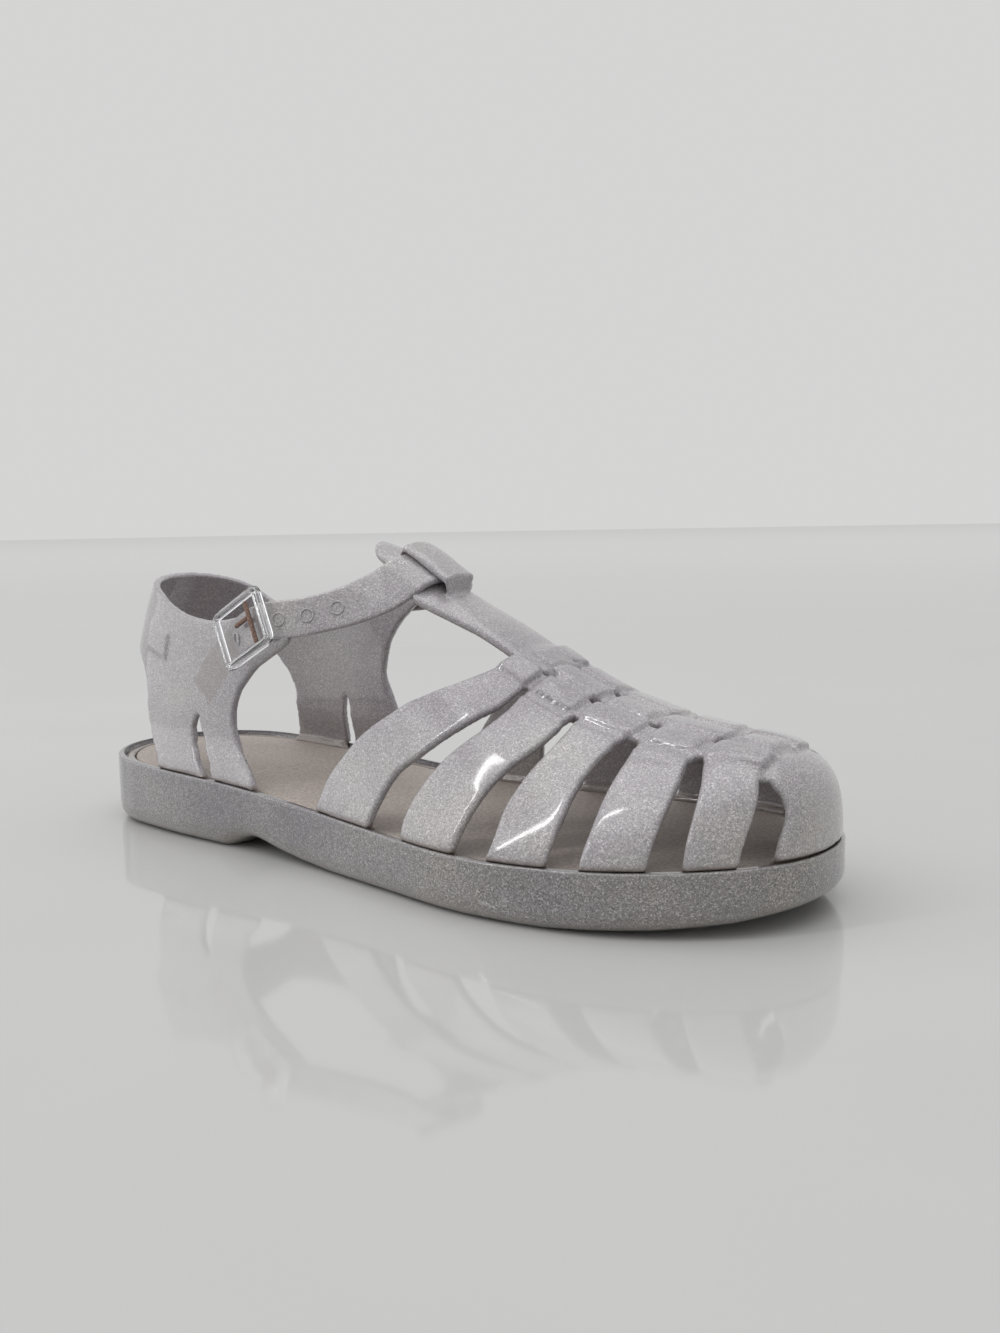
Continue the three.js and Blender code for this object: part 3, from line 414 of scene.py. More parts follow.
# %% Fuse sweeps into one skin
def fuse(name, points, faces, voxel, smooth):
    raw = mesh_object(name + "_raw", points, faces)
    remesh = raw.modifiers.new("wrap", "REMESH")
    remesh.mode = "VOXEL"
    remesh.voxel_size = voxel / 1000
    soften = raw.modifiers.new("soften", "SMOOTH")
    soften.factor = 0.5
    soften.iterations = smooth
    mesh = worked_out(raw)
    bpy.data.objects.remove(raw)
    mesh.name = name
    mesh.shade_smooth()
    print(name, "has", triangles(mesh), "triangles")
    return in_scene(bpy.data.objects.new(name, mesh))


# %% [markdown]
# ## Woven straps
# Five straps cross the foot from rim to rim, and three strands run along the crest. In the mould
# they are drawn as a plain weave: each crossing has one of them on top. The straps are swept
# between the edges of the gaps, and at each strand they rise or dive by a bit more than
# a millimetre. The strands do the opposite. Where two straps meet near the crest a crease stays,
# with a small hole between the strands.

# %% Weave: columns of the strands and what lies on top
COLUMNS = np.array([-10.8, 0, 10.8])
CROSSINGS = np.array([0.681, 0.725, 0.787, 0.856, 0.919])
STRAND_HALF, RELIEF = 4.0, 1.35  # half width of a strand, rise or dive at a crossing
WAVE = (3.4, 5.2)  # distances from a strand where the rise is full, and where it ends
RIDGE_AT, RIDGE = 18.9, 0.55  # ridge beside the weave: distance from the middle, height
FOOT_END = 1.1  # end of a strap's foot, where the rim is 1


def bump(distance, inner, outer):
    return ease(np.clip((outer - np.abs(distance)) / (outer - inner), 0, 1))


def strap_lift(row, y):
    """How far cross strap number row stands out at y, where the strands pass."""
    lift = 0
    for column, middle in enumerate(COLUMNS):
        over = 1 if (row + column) % 2 == 0 else -1
        lift = lift + over * RELIEF * bump(y - middle, *WAVE)
    if 0 < row < 4:
        lift = lift + RIDGE * bump(np.abs(y) - RIDGE_AT, 0.1, 1.3)
    return lift


# %% Cross straps
CREASE = 0.0011  # half the crease between two straps, as a share of the length
HOLE_AT, HOLE = 5.6, 0.0065  # hole between strands: distance from the middle, extra share
DRAWN, CROWN = 0.92, 0.22  # section drawn narrow and then stretched; bulge of its face


def cross_strap(row, corner=0.65):
    across = np.linspace(-FOOT_END, FOOT_END, 221)
    up = np.maximum(1 - np.abs(across), 0)
    rear = read(THROAT, 1, up) if row == 0 else read(GAPS[row - 1], 2, up)
    front = read(GAPS[row], 1, up)
    y = vamp_bare(on_vamp((rear + front) / 2), across)[:, 1]
    hole = HOLE * bump(np.abs(y) - HOLE_AT, 0.7, 1.7)
    rear = rear + CREASE + (hole if row else 0)
    front = front - CREASE - (hole if row < 4 else 0)
    half = (front - rear) * LENGTH / 2
    lift = strap_lift(row, y)
    loops = []
    for k in range(len(across)):
        sx, sz = bar_section(half[k] * DRAWN, WALL, min(corner, half[k] * 0.6), flat=10)
        at = (rear[k] + front[k]) / 2 + sx / DRAWN / LENGTH
        crown = CROWN * (1 - (sx / max(half[k], 1)) ** 2) * (sz > 0)
        loops.append(vamp(on_vamp(at), across[k], sz - WALL / 2 + lift[k] + crown - 0.1))
    return sweep(loops)


# %% Strands along the crest: the middle one starts further back, under the bar
def strand(column):
    at = np.linspace(0.60 if column == 1 else 0.664, 0.95, 150)
    lift = np.zeros_like(at)
    for row, middle in enumerate(CROSSINGS):
        over = 1 if (row + column) % 2 == 1 else -1
        width = (0.011, 0.017) if row == 0 else (0.020, 0.028) if row < 4 else (0.014, 0.022)
        lift += over * RELIEF * bump(at - middle, *width)
    lift -= 0.9 * np.clip((at - 0.938) / 0.012, 0, 1)
    sx, sz = bar_section(STRAND_HALF, WALL - 0.3, 0.6, flat=5)
    return sweep([vamp(t, across_at(t, COLUMNS[column] + sx), sz - WALL / 2 + lift[k] + 0.1)
                  for k, t in enumerate(on_vamp(at))])


# %% Toe cap: one domed sheet from the last strap to the toe
def toe_cap(radius=0.9):
    across = np.linspace(-FOOT_END, FOOT_END, 181)
    up = np.maximum(1 - np.abs(across), 0)
    rear = on_vamp(read(GAPS[4], 2, up) + 0.0005)[:, None]
    closer = 0.9 + 0.1 * np.sin(np.linspace(0, np.pi / 2, 12))[1:]
    run = np.concatenate([np.linspace(0, 0.9, 46), closer])
    t = rear + (1 - rear) * run[None, :]
    edge = np.minimum((t - rear) * LENGTH / radius, 1)
    drop = radius * (1 - np.sqrt(1 - (1 - edge) ** 2))
    outer = vamp(t, across[:, None], -drop)
    inner = vamp(t[:, ::-1], across[:, None], -WALL + drop[:, ::-1])
    return sweep(np.concatenate([outer, inner], 1))


# %% Bar on the instep: a wide tongue with a round upper end
BAR = np.array([  # at, half width on the outer side, on the inner side
    (0.441, 8, 8), (0.472, 8.1, 8.1), (0.505, 10, 10.5), (0.530, 12.2, 13), (0.550, 11.8, 13),
    (0.585, 10, 13), (0.620, 8.4, 13), (0.700, 8, 12)])
BAR_TOP, BAR_RUN, BAR_ROUND = BAR[0, 0], 0.271, 8  # upper end, length, radius of the end


def instep_bar():
    at = BAR_TOP + BAR_RUN * np.linspace(0, 1, 150) ** 1.25
    tip = np.clip((at - BAR_TOP) * LENGTH / BAR_ROUND, 0, 1)
    tip = np.sqrt(np.maximum(1 - (1 - tip) ** 2, 0.03))
    thin = np.clip((at - 0.692) / 0.014, 0, 1)
    outer = read(BAR, 1, at) * tip - 3.5 * thin
    inner = read(BAR, 2, at) * tip - 7.5 * thin
    lift = 0.7 * bump(at - 0.680, 0.010, 0.026) - 1.5 * np.clip((at - 0.696) / 0.012, 0, 1)
    half, middle = (outer + inner) / 2, (inner - outer) / 2
    loops = []
    for k, t in enumerate(on_vamp(at)):
        sx, sz = bar_section(half[k], WALL + 0.3, min(0.9, half[k] * 0.6), flat=12)
        loops.append(vamp(t, across_at(t, sx + middle[k]), sz - WALL / 2 + lift[k]))
    return sweep(loops)


# %% Loop over the ankle strap
STRAP_THICKNESS, STRAP_WIDTH, LOOP_WIDTH = 2.2, 14.5, 10.5
LOOP_AT, LOOP_HALF = 0.521, 8.55  # middle of the loop along the shoe, half its length
STRAP_BED = 0.15 + CLEARANCE  # how far the strap lies above the bar


def strap_loop():
    inside = STRAP_BED + STRAP_THICKNESS + CLEARANCE + 0.25
    place = np.linspace(-1.15, 1.15, 61)
    arch = np.clip((1.12 - np.abs(place)) / 0.24, 0, 1)
    middle = -0.8 + (inside + 1.85) * ease(arch)
    sx, sz = bar_section(LOOP_WIDTH / 2, 2.1, 0.7, flat=6)
    return sweep([vamp(t, across_at(t, sx), sz + middle[k])
                  for k, t in enumerate(on_vamp(LOOP_AT + place * LOOP_HALF / LENGTH))])


# %% Fuse the front of the upper
front_parts = [cross_strap(row) for row in range(5)] + [strand(column) for column in range(3)]
straps = fuse("woven_straps", *joined(front_parts + [toe_cap()]), 0.63, 3)
tongue = fuse("instep_bar_and_loop", *joined([instep_bar(), strap_loop()]), 0.5, 4)

# %% [markdown]
# ## Side panels round the heel
# The two panels and the strip over the back of the heel are one wall. Its openings, the window at
# the back, the C-shaped front edges and a drain slot on each side, are cut straight through by
# plates drawn from the side, as the steel of a mould would. Then the cut wall is wrapped as the
# straps were, so the edges come out round. At the back of the outer side lies a small raised
# plate.

# %% Wall of the panels
def panel_wall(columns=260, rows=56):
    around = np.linspace(-1, 1, columns + 1)
    up = np.linspace(0, 1, rows + 1)
    t = QUARTER_REACH * around**2

    def foot(inset, deep):
        point = [along(t, inset), sign(around) * half_width(t, around, inset),
                 rim_height(t) + CLEARANCE - deep]
        return np.stack(point, -1)[:, None]

    section = [foot(SEAT + 0.1, 3.4), foot(SEAT + 0.1, 0.3),
               quarter(around[:, None], up[None, :], 0),
               quarter(around[:, None], up[None, ::-1], -WALL),
               foot(SEAT + WALL, 0.3), foot(SEAT + WALL, 3.4)]
    return sweep(np.concatenate(section, 1))


# %% Plates that cut the openings
def cutter(outline, low, high):
    loop, n = np.array([(x, 0, z) for x, z in outline], float), len(outline)
    faces = [[k, (k + 1) % n, n + (k + 1) % n, n + k] for k in range(n)]
    faces += [list(range(n))[::-1], list(range(n, 2 * n))]
    return np.concatenate([loop + (0, low, 0), loop + (0, high, 0)]), faces


def side_outline(rows, column, extra):
    height = np.linspace(rows[0, 0], rows[-1, 0], 90)
    line = [((read(rows, column, h) - 0.5) * LENGTH, h * COLLAR_HEIGHT) for h in height]
    return line + extra


FAR = 94  # the plates reach past the shoe on either side
cutters = []
for column, low, high in ((1, -FAR, 0.3), (2, -0.3, FAR)):
    cutters.append(cutter(side_outline(FRONT_EDGE, column, [(0, 90), (0, 16.3)]), low, high))
    cutters.append(cutter(side_outline(WINDOW, column, [(-256, 0)]), low, high))
for side, rows in SLOTS.items():
    edge = [(rear, h) for h, rear, front in rows] + [(front, h) for h, rear, front in rows[::-1]]
    slot = [((at - 0.5) * LENGTH, h * COLLAR_HEIGHT) for at, h in edge]
    cutters.append(cutter(slot, *((-FAR, 0) if side < 0 else (0, FAR))))

# %% Cut the wall
wall = solid("panel_wall", *panel_wall())
for points, faces in cutters:
    tool = solid("cutter", points, faces)
    cut = wall.modifiers.new("cut", "BOOLEAN")
    cut.operation, cut.solver, cut.object = "DIFFERENCE", "MANIFOLD", tool
    mesh = worked_out(wall)
    wall.modifiers.clear()
    wall.data = mesh
    bpy.data.objects.remove(tool)
print("the cut wall has", len(wall.data.polygons), "faces")

# %% Band that joins the feet of straps and panels, hidden in the sole's recess
def ring(inset, height, steps=180):
    turned = np.linspace(0, 2 * np.pi, 2 * steps, endpoint=False)
    t = (1 + np.cos(turned)) / 2
    side = np.where(np.arange(2 * steps) <= steps, 1, -1)
    y = side * half_width(t, side, inset)
    y[[0, steps]] = 0
    return np.stack([along(t, inset), y, height(t)], -1)


def band():
    low, high = (lambda t: bed_height(t) + CLEARANCE), (lambda t: rim_height(t) - 1.2)
    rings = ((SEAT + BAND_WIDTH, low), (SEAT, low), (SEAT, high), (SEAT + BAND_WIDTH, high))
    return sweep(np.stack([ring(*row) for row in rings], 1), hoop=True)


# %% Raised plate at the heel, then fuse wall, band and plate
def plate(columns=14):
    around = np.linspace(-0.60, -0.475, columns)[:, None]
    up = np.linspace(0.68, 0.83, columns)[None, :]
    return sweep(np.concatenate([quarter(around, up, 0.7), quarter(around, up[:, ::-1], -1)], 1))


wall_points = np.array([v.co for v in wall.data.vertices]) * 1000 + (0, SHIFT, 0)
wall_faces = [list(p.vertices) for p in wall.data.polygons]
bpy.data.objects.remove(wall)
panels = fuse("side_panels", *joined([(wall_points, wall_faces), band(), plate()]), 0.62, 5)

# %% [markdown]
# ## Ankle strap
# A flat strap grows out of the inner panel, passes under the loop of the bar and through the
# buckle, dives through the outer panel under the buckle's rear bar and ends behind it. It is
# swept along a curve through a few stations, and each station says which way the strap's width
# points.

# %% Stations of the ankle strap
TAIL = (  # at, height, lean in degrees, share of the way out of the panel
    (0.253, 0.572, 58, 0), (0.279, 0.67, 46, 0), (0.306, 0.735, 36, 0.4),
    (0.332, 0.79, 29, 1), (0.374, 0.842, 16, 1))
OUTER_SPAN = (  # at, sideways, height, lean in degrees
    (0.415, -0.3, 0.745, 12), (0.456, -0.23, 0.774, 24), (0.492, -0.15, 0.822, 38))
UNDER_LOOP = ((0.514, -0.075), (0.519, 0), (0.52, 0.075))  # at, sideways
INNER_SPAN = ((0.494, 0.15, 0.838, 38), (0.454, 0.235, 0.83, 24), (0.412, 0.29, 0.81, 12))
INNER_END = (0.34, 0.915)  # at, height


def leaning(degrees, sideways=0.0):
    angle = math.radians(degrees)
    return np.array([-math.sin(angle), sideways, math.cos(angle)])


def free(at, side, height, lean):
    """Station of a span in the air."""
    point = np.array([(at - 0.5) * LENGTH, side * BALL_WIDTH, height * INSTEP_HEIGHT])
    return point, unit(leaning(lean, -np.sign(side) * 0.15))


def strap_stations():
    stations = []
    inside, outside = -WALL - STRAP_BED - STRAP_THICKNESS / 2, STRAP_THICKNESS / 2 - 0.3
    for at, height, lean, share in TAIL:
        point, out = quarter_at(-1, at, height, inside + (outside - inside) * share)
        wide = leaning(lean)
        stations.append((point, unit(wide - out * (wide @ out))))
    stations += [free(*row) for row in OUTER_SPAN]
    lift = STRAP_BED + STRAP_THICKNESS / 2 + 0.1
    for at, side in UNDER_LOOP:
        across = across_at(on_vamp(at), side * BALL_WIDTH)
        point = vamp(on_vamp(at), across, lift)
        stations.append((point, unit(vamp(on_vamp(at - 0.02), across, lift) - point)))
    stations += [free(*row) for row in INNER_SPAN]
    end, _ = quarter_at(1, *INNER_END, -WALL / 2)
    return stations + [(end, unit(np.array([-0.1, 0, 1])))]


# %% Curve through the stations
def centripetal(points, steps):
    """Smooth curve through points that never overshoots, with steps to each span."""
    ends = [points[0] * 2 - points[1]] + list(points) + [points[-1] * 2 - points[-2]]
    out = []
    for k in range(1, len(ends) - 2):
        p = ends[k - 1:k + 3]
        d = [max(np.linalg.norm(p[i + 1] - p[i]), 1e-6) ** 0.5 for i in range(3)]
        m1 = (p[1] - p[0]) / d[0] - (p[2] - p[0]) / (d[0] + d[1]) + (p[2] - p[1]) / d[1]
        m2 = (p[2] - p[1]) / d[1] - (p[3] - p[1]) / (d[1] + d[2]) + (p[3] - p[2]) / d[2]
        s = np.linspace(0, 1, steps, endpoint=False)[:, None]
        out.append(cubic(s, p[1], p[2], m1 * d[1], m2 * d[1]))
    return np.concatenate(out + [np.array([points[-1]])])


# %% Ankle strap
STEPS = 24  # steps from one station to the next


def ankle_strap():
    stations = strap_stations()
    numbers = np.arange(len(stations))
    centre = centripetal([s[0] for s in stations], STEPS)
    place = np.arange(len(centre)) / STEPS
    wide = np.stack([np.interp(place, numbers, column) for column in
                     np.array([s[1] for s in stations]).T], -1)
    run = unit(np.gradient(centre, axis=0))
    wide = unit(wide - run * (wide * run).sum(-1, keepdims=True))
    out = np.cross(run, wide)
    share = place / numbers[-1]
    slim = 0.78 + 0.22 * bump(1 - np.clip(share, 0, 1), 0.46, 0.62)
    tip = np.minimum(share * 24, 1)
    half = slim * STRAP_WIDTH / 2 * np.sqrt(np.maximum(1 - (1 - tip) ** 2, 0.05))
    loops = []
    for k in range(len(centre)):
        sx, sz = bar_section(half[k], STRAP_THICKNESS, min(0.8, half[k] * 0.5), flat=10)
        loops.append(centre[k] + wide[k] * sx[:, None] + out[k] * sz[:, None])
    return sweep(loops), centre, wide, out


strap_mesh, strap_line, strap_wide, strap_out = ankle_strap()
strap = solid("ankle_strap", *strap_mesh)
strap.data.shade_smooth()

# %% [markdown]
# ## Sole
# The sole is a stack of rings drawn in from its outline. Close rings at the corners give them a
# radius. Underneath, the middle lies a little higher than the edge and carries ribs across.

# %% Rings of the sole from the middle of the bottom over the rim to the bed
RIM_OUTSIDE, RIM_INSIDE = 0.6, 0.3  # radii of the rim's two edges
BOTTOM_RINGS = (  # inset, height above the bottom
    (9.4, 1.3), (9.2, 1.2), (8.8, 0.1), (8.5, 0), (4.2, 0), (2.6, 0.35), (1.4, 1.2), (0.7, 2.2),
    (0.2, 3.2))


def sole():
    low, high = bottom_height, rim_height
    profile = [(inset, lambda t, up=up: low(t) + up) for inset, up in BOTTOM_RINGS]
    for share in np.linspace(0.12, 0.9, 7):
        profile.append((0.0, lambda t, s=share: (low(t) + 4) * (1 - s) + (high(t) - 0.6) * s))
    for a in np.radians(np.linspace(0, 90, 6)):
        drop = RIM_OUTSIDE * (1 - math.sin(a))
        profile.append((RIM_OUTSIDE * (1 - math.cos(a)), lambda t, drop=drop: high(t) - drop))
    for a in np.radians(np.linspace(90, 0, 4)):
        drop = RIM_INSIDE * (1 - math.sin(a))
        profile.append((RIM_WIDTH - RIM_INSIDE * math.cos(a), lambda t, drop=drop: high(t) - drop))
    return profile + [(RIM_WIDTH, lambda t: high(t) - 1.0), (RIM_WIDTH, bed_height)]


# %% Closed solid from a stack of rings
def closed_stack(profile, steps=180, columns=24):
    rings = [ring(inset, height, steps) for inset, height in profile]
    count, points, faces = 2 * steps, list(np.concatenate(rings)), []
    for r in range(len(rings) - 1):
        for k in range(count):
            n = (k + 1) % count
            faces.append([r * count + k, r * count + n, (r + 1) * count + n, (r + 1) * count + k])
    for base, flip in ((0, True), ((len(rings) - 1) * count, False)):
        rows = [[base] * (columns + 1)]
        for k in range(1, steps):
            a, b = base + k, base + count - k
            row = [a]
            for j in range(1, columns):
                points.append(points[a] + (points[b] - points[a]) * j / columns)
                row.append(len(points) - 1)
            rows.append(row + [b])
        rows.append([base + steps] * (columns + 1))
        for above, below in zip(rows, rows[1:]):
            for j in range(columns):
                face = list(dict.fromkeys([above[j], above[j + 1], below[j + 1], below[j]]))
                faces.append(face[::-1] if flip else face)
    return np.array(points), faces


outsole = solid("sole", *closed_stack(sole()))
outsole.data.shade_smooth()

# %% Footbed
def footbed_profile(radius=0.8):
    inset = SEAT + BAND_WIDTH + CLEARANCE
    low = lambda t: bed_height(t) + CLEARANCE
    profile = [(inset + 0.1, low)]
    for a in np.radians(np.linspace(0, 90, 5)):
        up = INSOLE_THICKNESS - radius * (1 - math.sin(a))
        profile.append((inset + radius * (1 - math.cos(a)), lambda t, up=up: low(t) + up))
    return profile


footbed = solid("footbed", *closed_stack(footbed_profile()))
footbed.data.shade_smooth()

# %% [markdown]
# ## Buckle frame
# The frame is cast from clear plastic. Its profile has a low outer step and a higher inner lip,
# and light that bends in those steps is what makes a clear piece visible at all. The profile is
# carried round a rectangle with round corners.

# %% Buckle frame
BUCKLE_AT, BUCKLE_TILT, ABOVE_SKIN = (0.346, 0.815), 27, 3.0  # at and height, degrees, lift
BUCKLE_HALF, BUCKLE_ROUND = (9.0, 6.3), 1.9  # middle of the corners, and their radius
BUCKLE_SECTION = np.array([  # outwards from the line of the frame, up from its underside
    (-1.1, 0.3), (-0.8, 0), (0.8, 0), (1.1, 0.3), (1.1, 1.2), (0.9, 1.5), (0.3, 1.5),
    (0.1, 1.7), (0.1, 2.1), (-0.2, 2.4), (-0.8, 2.4), (-1.1, 2.1)])


def buckle_frame():
    seat, out = quarter_at(-1, *BUCKLE_AT, 0)
    tilt = math.radians(BUCKLE_TILT)
    run = np.array([math.cos(tilt), 0, math.sin(tilt)])
    run = unit(run - out * (run @ out))
    wide = np.cross(out, run)
    aside, above = BUCKLE_SECTION[:, :1], BUCKLE_SECTION[:, 1:] + ABOVE_SKIN
    loops = []
    for k, corner in enumerate(CORNERS):
        for a in np.linspace(0, np.pi / 2, 8) + k * np.pi / 2:
            away = np.array([math.cos(a), math.sin(a)])
            flat = np.array(corner) * BUCKLE_HALF + BUCKLE_ROUND * away + aside * away
            loops.append(seat + flat[:, :1] * run + flat[:, 1:] * wide + above * out)
    return sweep(loops, hoop=True)


frame_piece = solid("clear_buckle_frame", *buckle_frame())

# %% [markdown]
# ## What repeats: ribs under the sole and ring marks on the strap
# A mould maker cuts one rib and repeats it. Geometry Nodes do the same here: a guide has one point
# for each copy, with its size or direction stored on it, a small tree puts the shape there, and
# the result is kept as a plain mesh.

# %% Values stored on points
def paint(piece, key, values):
    """Store a number or a direction on every point."""
    values = np.asarray(values, np.float32)
    kind, field = ("FLOAT_VECTOR", "vector") if values.ndim == 2 else ("FLOAT", "value")
    piece.data.attributes.new(key, kind, "POINT").data.foreach_set(field, values.ravel())


# %% A tree that copies one shape to every guide point, and its use
SOCKETS = {float: "NodeSocketFloat", int: "NodeSocketInt", type(None): "NodeSocketMaterial"}


def wire(tree, *wires):
    for start, output, end, into in wires:
        tree.links.new(start.outputs[output], end.inputs[into])


def copying_tree(name, values, stored, kind):
    """Tree with named inputs whose copies end as real, coated geometry; the shape comes later."""
    tree = bpy.data.node_groups.new(name, "GeometryNodeTree")
    tree.interface.new_socket("Guide", in_out="INPUT", socket_type="NodeSocketGeometry")
    sockets = {}
    for key, value in {**values, "Material": None}.items():
        socket_type = SOCKETS[type(value)]
        sockets[key] = tree.interface.new_socket(key, in_out="INPUT", socket_type=socket_type)
        if value is not None:
            sockets[key].default_value = value
    tree.interface.new_socket("Geometry", in_out="OUTPUT", socket_type="NodeSocketGeometry")
    given, result = tree.nodes.new("NodeGroupInput"), tree.nodes.new("NodeGroupOutput")
    points, copies, real, coat, own = (tree.nodes.new("GeometryNode" + word) for word in (
        "MeshToPoints", "InstanceOnPoints", "RealizeInstances", "SetMaterial",
        "InputNamedAttribute"))
    own.data_type = kind
    own.inputs["Name"].default_value = stored
    wire(tree, (given, "Guide", points, "Mesh"), (points, "Points", copies, "Points"),
         (copies, "Instances", real, "Geometry"), (real, "Geometry", coat, "Geometry"),
         (given, "Material", coat, "Material"), (coat, "Geometry", result, "Geometry"))
    return tree, sockets, given, copies, own


def grown(source, tree, sockets, values):
    """Run the tree on the guide and keep the result as a plain mesh."""
    growth = source.modifiers.new("copies", "NODES")
    growth.node_group = tree
    for key, value in values.items():
        growth[sockets[key].identifier] = value
    mesh = worked_out(source)
    source.modifiers.remove(growth)
    source.data = mesh
    return source


# %% Tree of the ribs: a bar, worn by chance a little, as long as its point says
RIB_VALUES = {"Rib width": 0.0026, "Rib height": 0.0012, "Wear": 0.06, "Seed": 4}
rib_tree, rib_sockets, given, copies, length = copying_tree(
    "ribs_across_the_sole", RIB_VALUES, "reach", "FLOAT")
rib, size, scale, worn, least = (rib_tree.nodes.new(kind) for kind in (
    "GeometryNodeMeshCube", "ShaderNodeCombineXYZ", "ShaderNodeCombineXYZ",
    "FunctionNodeRandomValue", "ShaderNodeMath"))
least.operation = "SUBTRACT"
least.inputs[0].default_value = 1.0
size.inputs["Y"].default_value = 1.0
worn.inputs[3].default_value = 1.0
wire(rib_tree, (given, "Rib width", size, "X"), (given, "Rib height", size, "Z"),
     (size, "Vector", rib, "Size"), (rib, "Mesh", copies, "Instance"),
     (given, "Wear", least, 1), (least, "Value", worn, 2), (given, "Seed", worn, "Seed"),
     (worn, 1, scale, "Z"), (worn, 1, scale, "X"), (length, "Attribute", scale, "Y"),
     (scale, "Vector", copies, "Scale"))

# %% Guide of the ribs, under heel and forefoot
RIB_STEP, RIB_INSET = 0.0205, 9.5
rib_places = np.concatenate([np.arange(0.055, 0.285, RIB_STEP), np.arange(0.515, 0.945, RIB_STEP)])
inner_edge, outer_edge = (half_width(rib_places, side, RIB_INSET) for side in (1, -1))
rib_points = np.stack([along(rib_places, RIB_INSET), (inner_edge - outer_edge) / 2,
                       bottom_height(rib_places) + 0.72], -1)
rib_guide = mesh_object("tread_ribs", rib_points, [])
paint(rib_guide, "reach", (inner_edge + outer_edge) / 1000)
print(len(rib_places), "ribs")

# %% Tree of the ring marks: a thin tube in a circle, turned the way its point faces
RING_VALUES = {"Ring radius": 0.0019, "Bead radius": 0.00032}
ring_tree, ring_sockets, given, copies, facing = copying_tree(
    "rings_on_the_strap", RING_VALUES, "facing", "FLOAT_VECTOR")
circle, bead, tube, turned = (ring_tree.nodes.new(kind) for kind in (
    "GeometryNodeCurvePrimitiveCircle", "GeometryNodeCurvePrimitiveCircle",
    "GeometryNodeCurveToMesh", "FunctionNodeAlignRotationToVector"))
circle.inputs["Resolution"].default_value = 40
bead.inputs["Resolution"].default_value = 10
wire(ring_tree, (given, "Ring radius", circle, "Radius"), (given, "Bead radius", bead, "Radius"),
     (circle, "Curve", tube, "Curve"), (bead, "Curve", tube, "Profile Curve"),
     (tube, "Mesh", copies, "Instance"), (facing, "Attribute", turned, "Vector"),
     (turned, "Rotation", copies, "Rotation"))

# %% Guide of the ring marks, round the holes of the strap
BUCKLE_STATION, MARKS = 4, (-14, 5, 14, 23)  # distances along the strap from that station
walked = np.concatenate([[0], np.cumsum(np.linalg.norm(np.diff(strap_line, axis=0), axis=1))])
walked -= walked[BUCKLE_STATION * STEPS]
marks = [int(np.argmin(np.abs(walked - mark))) for mark in MARKS]
ring_points = strap_line[marks] + strap_out[marks] * (STRAP_THICKNESS / 2 + 0.02)
ring_guide = mesh_object("strap_ring_marks", ring_points, [])
paint(ring_guide, "facing", strap_out[marks])
print(len(marks), "ring marks")

# %% [markdown]
# ## Values the finish needs
# Two layers of clear plastic look darker than one, so the skin over the strap's end gets painted
# shade;
# edges and creases get painted shade, the seam above the sole dirt and painted shade, and the low
# part of the sole painted light. All depend on where a point of the skin lies, so they are worked
# out once and stored on it.

# %% Read points, and measure how sharply the skin bends
def places(piece):
    flat = np.empty(len(piece.data.vertices) * 3, np.float32)
    piece.data.vertices.foreach_get("co", flat)
    return flat.reshape(-1, 3) * 1000.0 + (0, SHIFT, 0)


def bend(piece):
    """How sharply the skin bends at each point: edges and creases against flat places."""
    spots, count = places(piece), len(piece.data.vertices)
    pairs = np.empty(len(piece.data.edges) * 2, np.int32)
    piece.data.edges.foreach_get("vertices", pairs)
    a, b = pairs.reshape(-1, 2).T

    def near(values):
        """Sum of the neighbours' values at each point."""
        return np.bincount(a, values[b], count) + np.bincount(b, values[a], count)

    number = np.maximum(near(np.ones(count)), 1)
    around = np.stack([near(column) for column in spots.T], -1)
    away = np.linalg.norm(around / number[:, None] - spots, axis=1)
    for _ in range(2):
        away = (away + near(away) / number) / 2
    return away


# %% Paint shade on edges and creases, dirt and shade in the seams, and light on the low part of the sole
for piece in (straps, tongue, panels):
    sharp = bend(piece)
    # painted shade: edges and creases of the skin are darkened
    paint(piece, "edge", np.clip((sharp - 0.03) / 0.09, 0, 1))
    print(piece.name, "bends by", np.round(np.percentile(sharp, (50, 97)), 3))
for piece in (straps, panels):
    spots = places(piece)
    above = spots[:, 2] - rim_height(spots[:, 0] / LENGTH + 0.5) - CLEARANCE
    # dirt and painted shade: the seam just above the sole's rim is darkened and browned
    paint(piece, "seam", np.clip(1 - above / 1.6, 0, 1))
spots = places(outsole)
share = spots[:, 0] / LENGTH + 0.5
above = (spots[:, 2] - bottom_height(share)) / (rim_height(share) - bottom_height(share))
# painted light: the low part of the sole is made lighter and warmer
paint(outsole, "low", np.clip(1 - above / 0.45, 0, 1) ** 1.5)
# painted shade: the top edge of the sole's rim is darkened
paint(outsole, "edge", 0.6 * np.clip((above - 0.86) / 0.14, 0, 1))

# %% Paint shade on the skin over the strap's end
HIDDEN = 62  # points of the strap's line that lie behind the panel
spots = places(panels)
shade = np.zeros(len(spots))
for k in range(0, HIDDEN, 2):
    gap = spots - strap_line[k]
    across = np.abs(gap @ strap_wide[k])
    near = np.linalg.norm(gap - strap_wide[k] * (gap @ strap_wide[k])[:, None], axis=1)
    shade = np.maximum(shade, (near < 4.2) * np.clip((5.6 - across) / 0.5, 0, 1))
# painted shade: the panel is darkened where the strap's end lies behind it and shows through
paint(panels, "behind", shade)
print("skin over the strap's end:", int((shade > 0.5).sum()), "points")

# %% [markdown]
# ## Finishes
# The plastic is clear and full of small silver flakes. Up close each flake is a mirror that faces
# its own way, so some flash and others look dark. Voronoi cells a third of a millimetre wide are
# the flakes: each cell has its own brightness, and turns the surface a little.

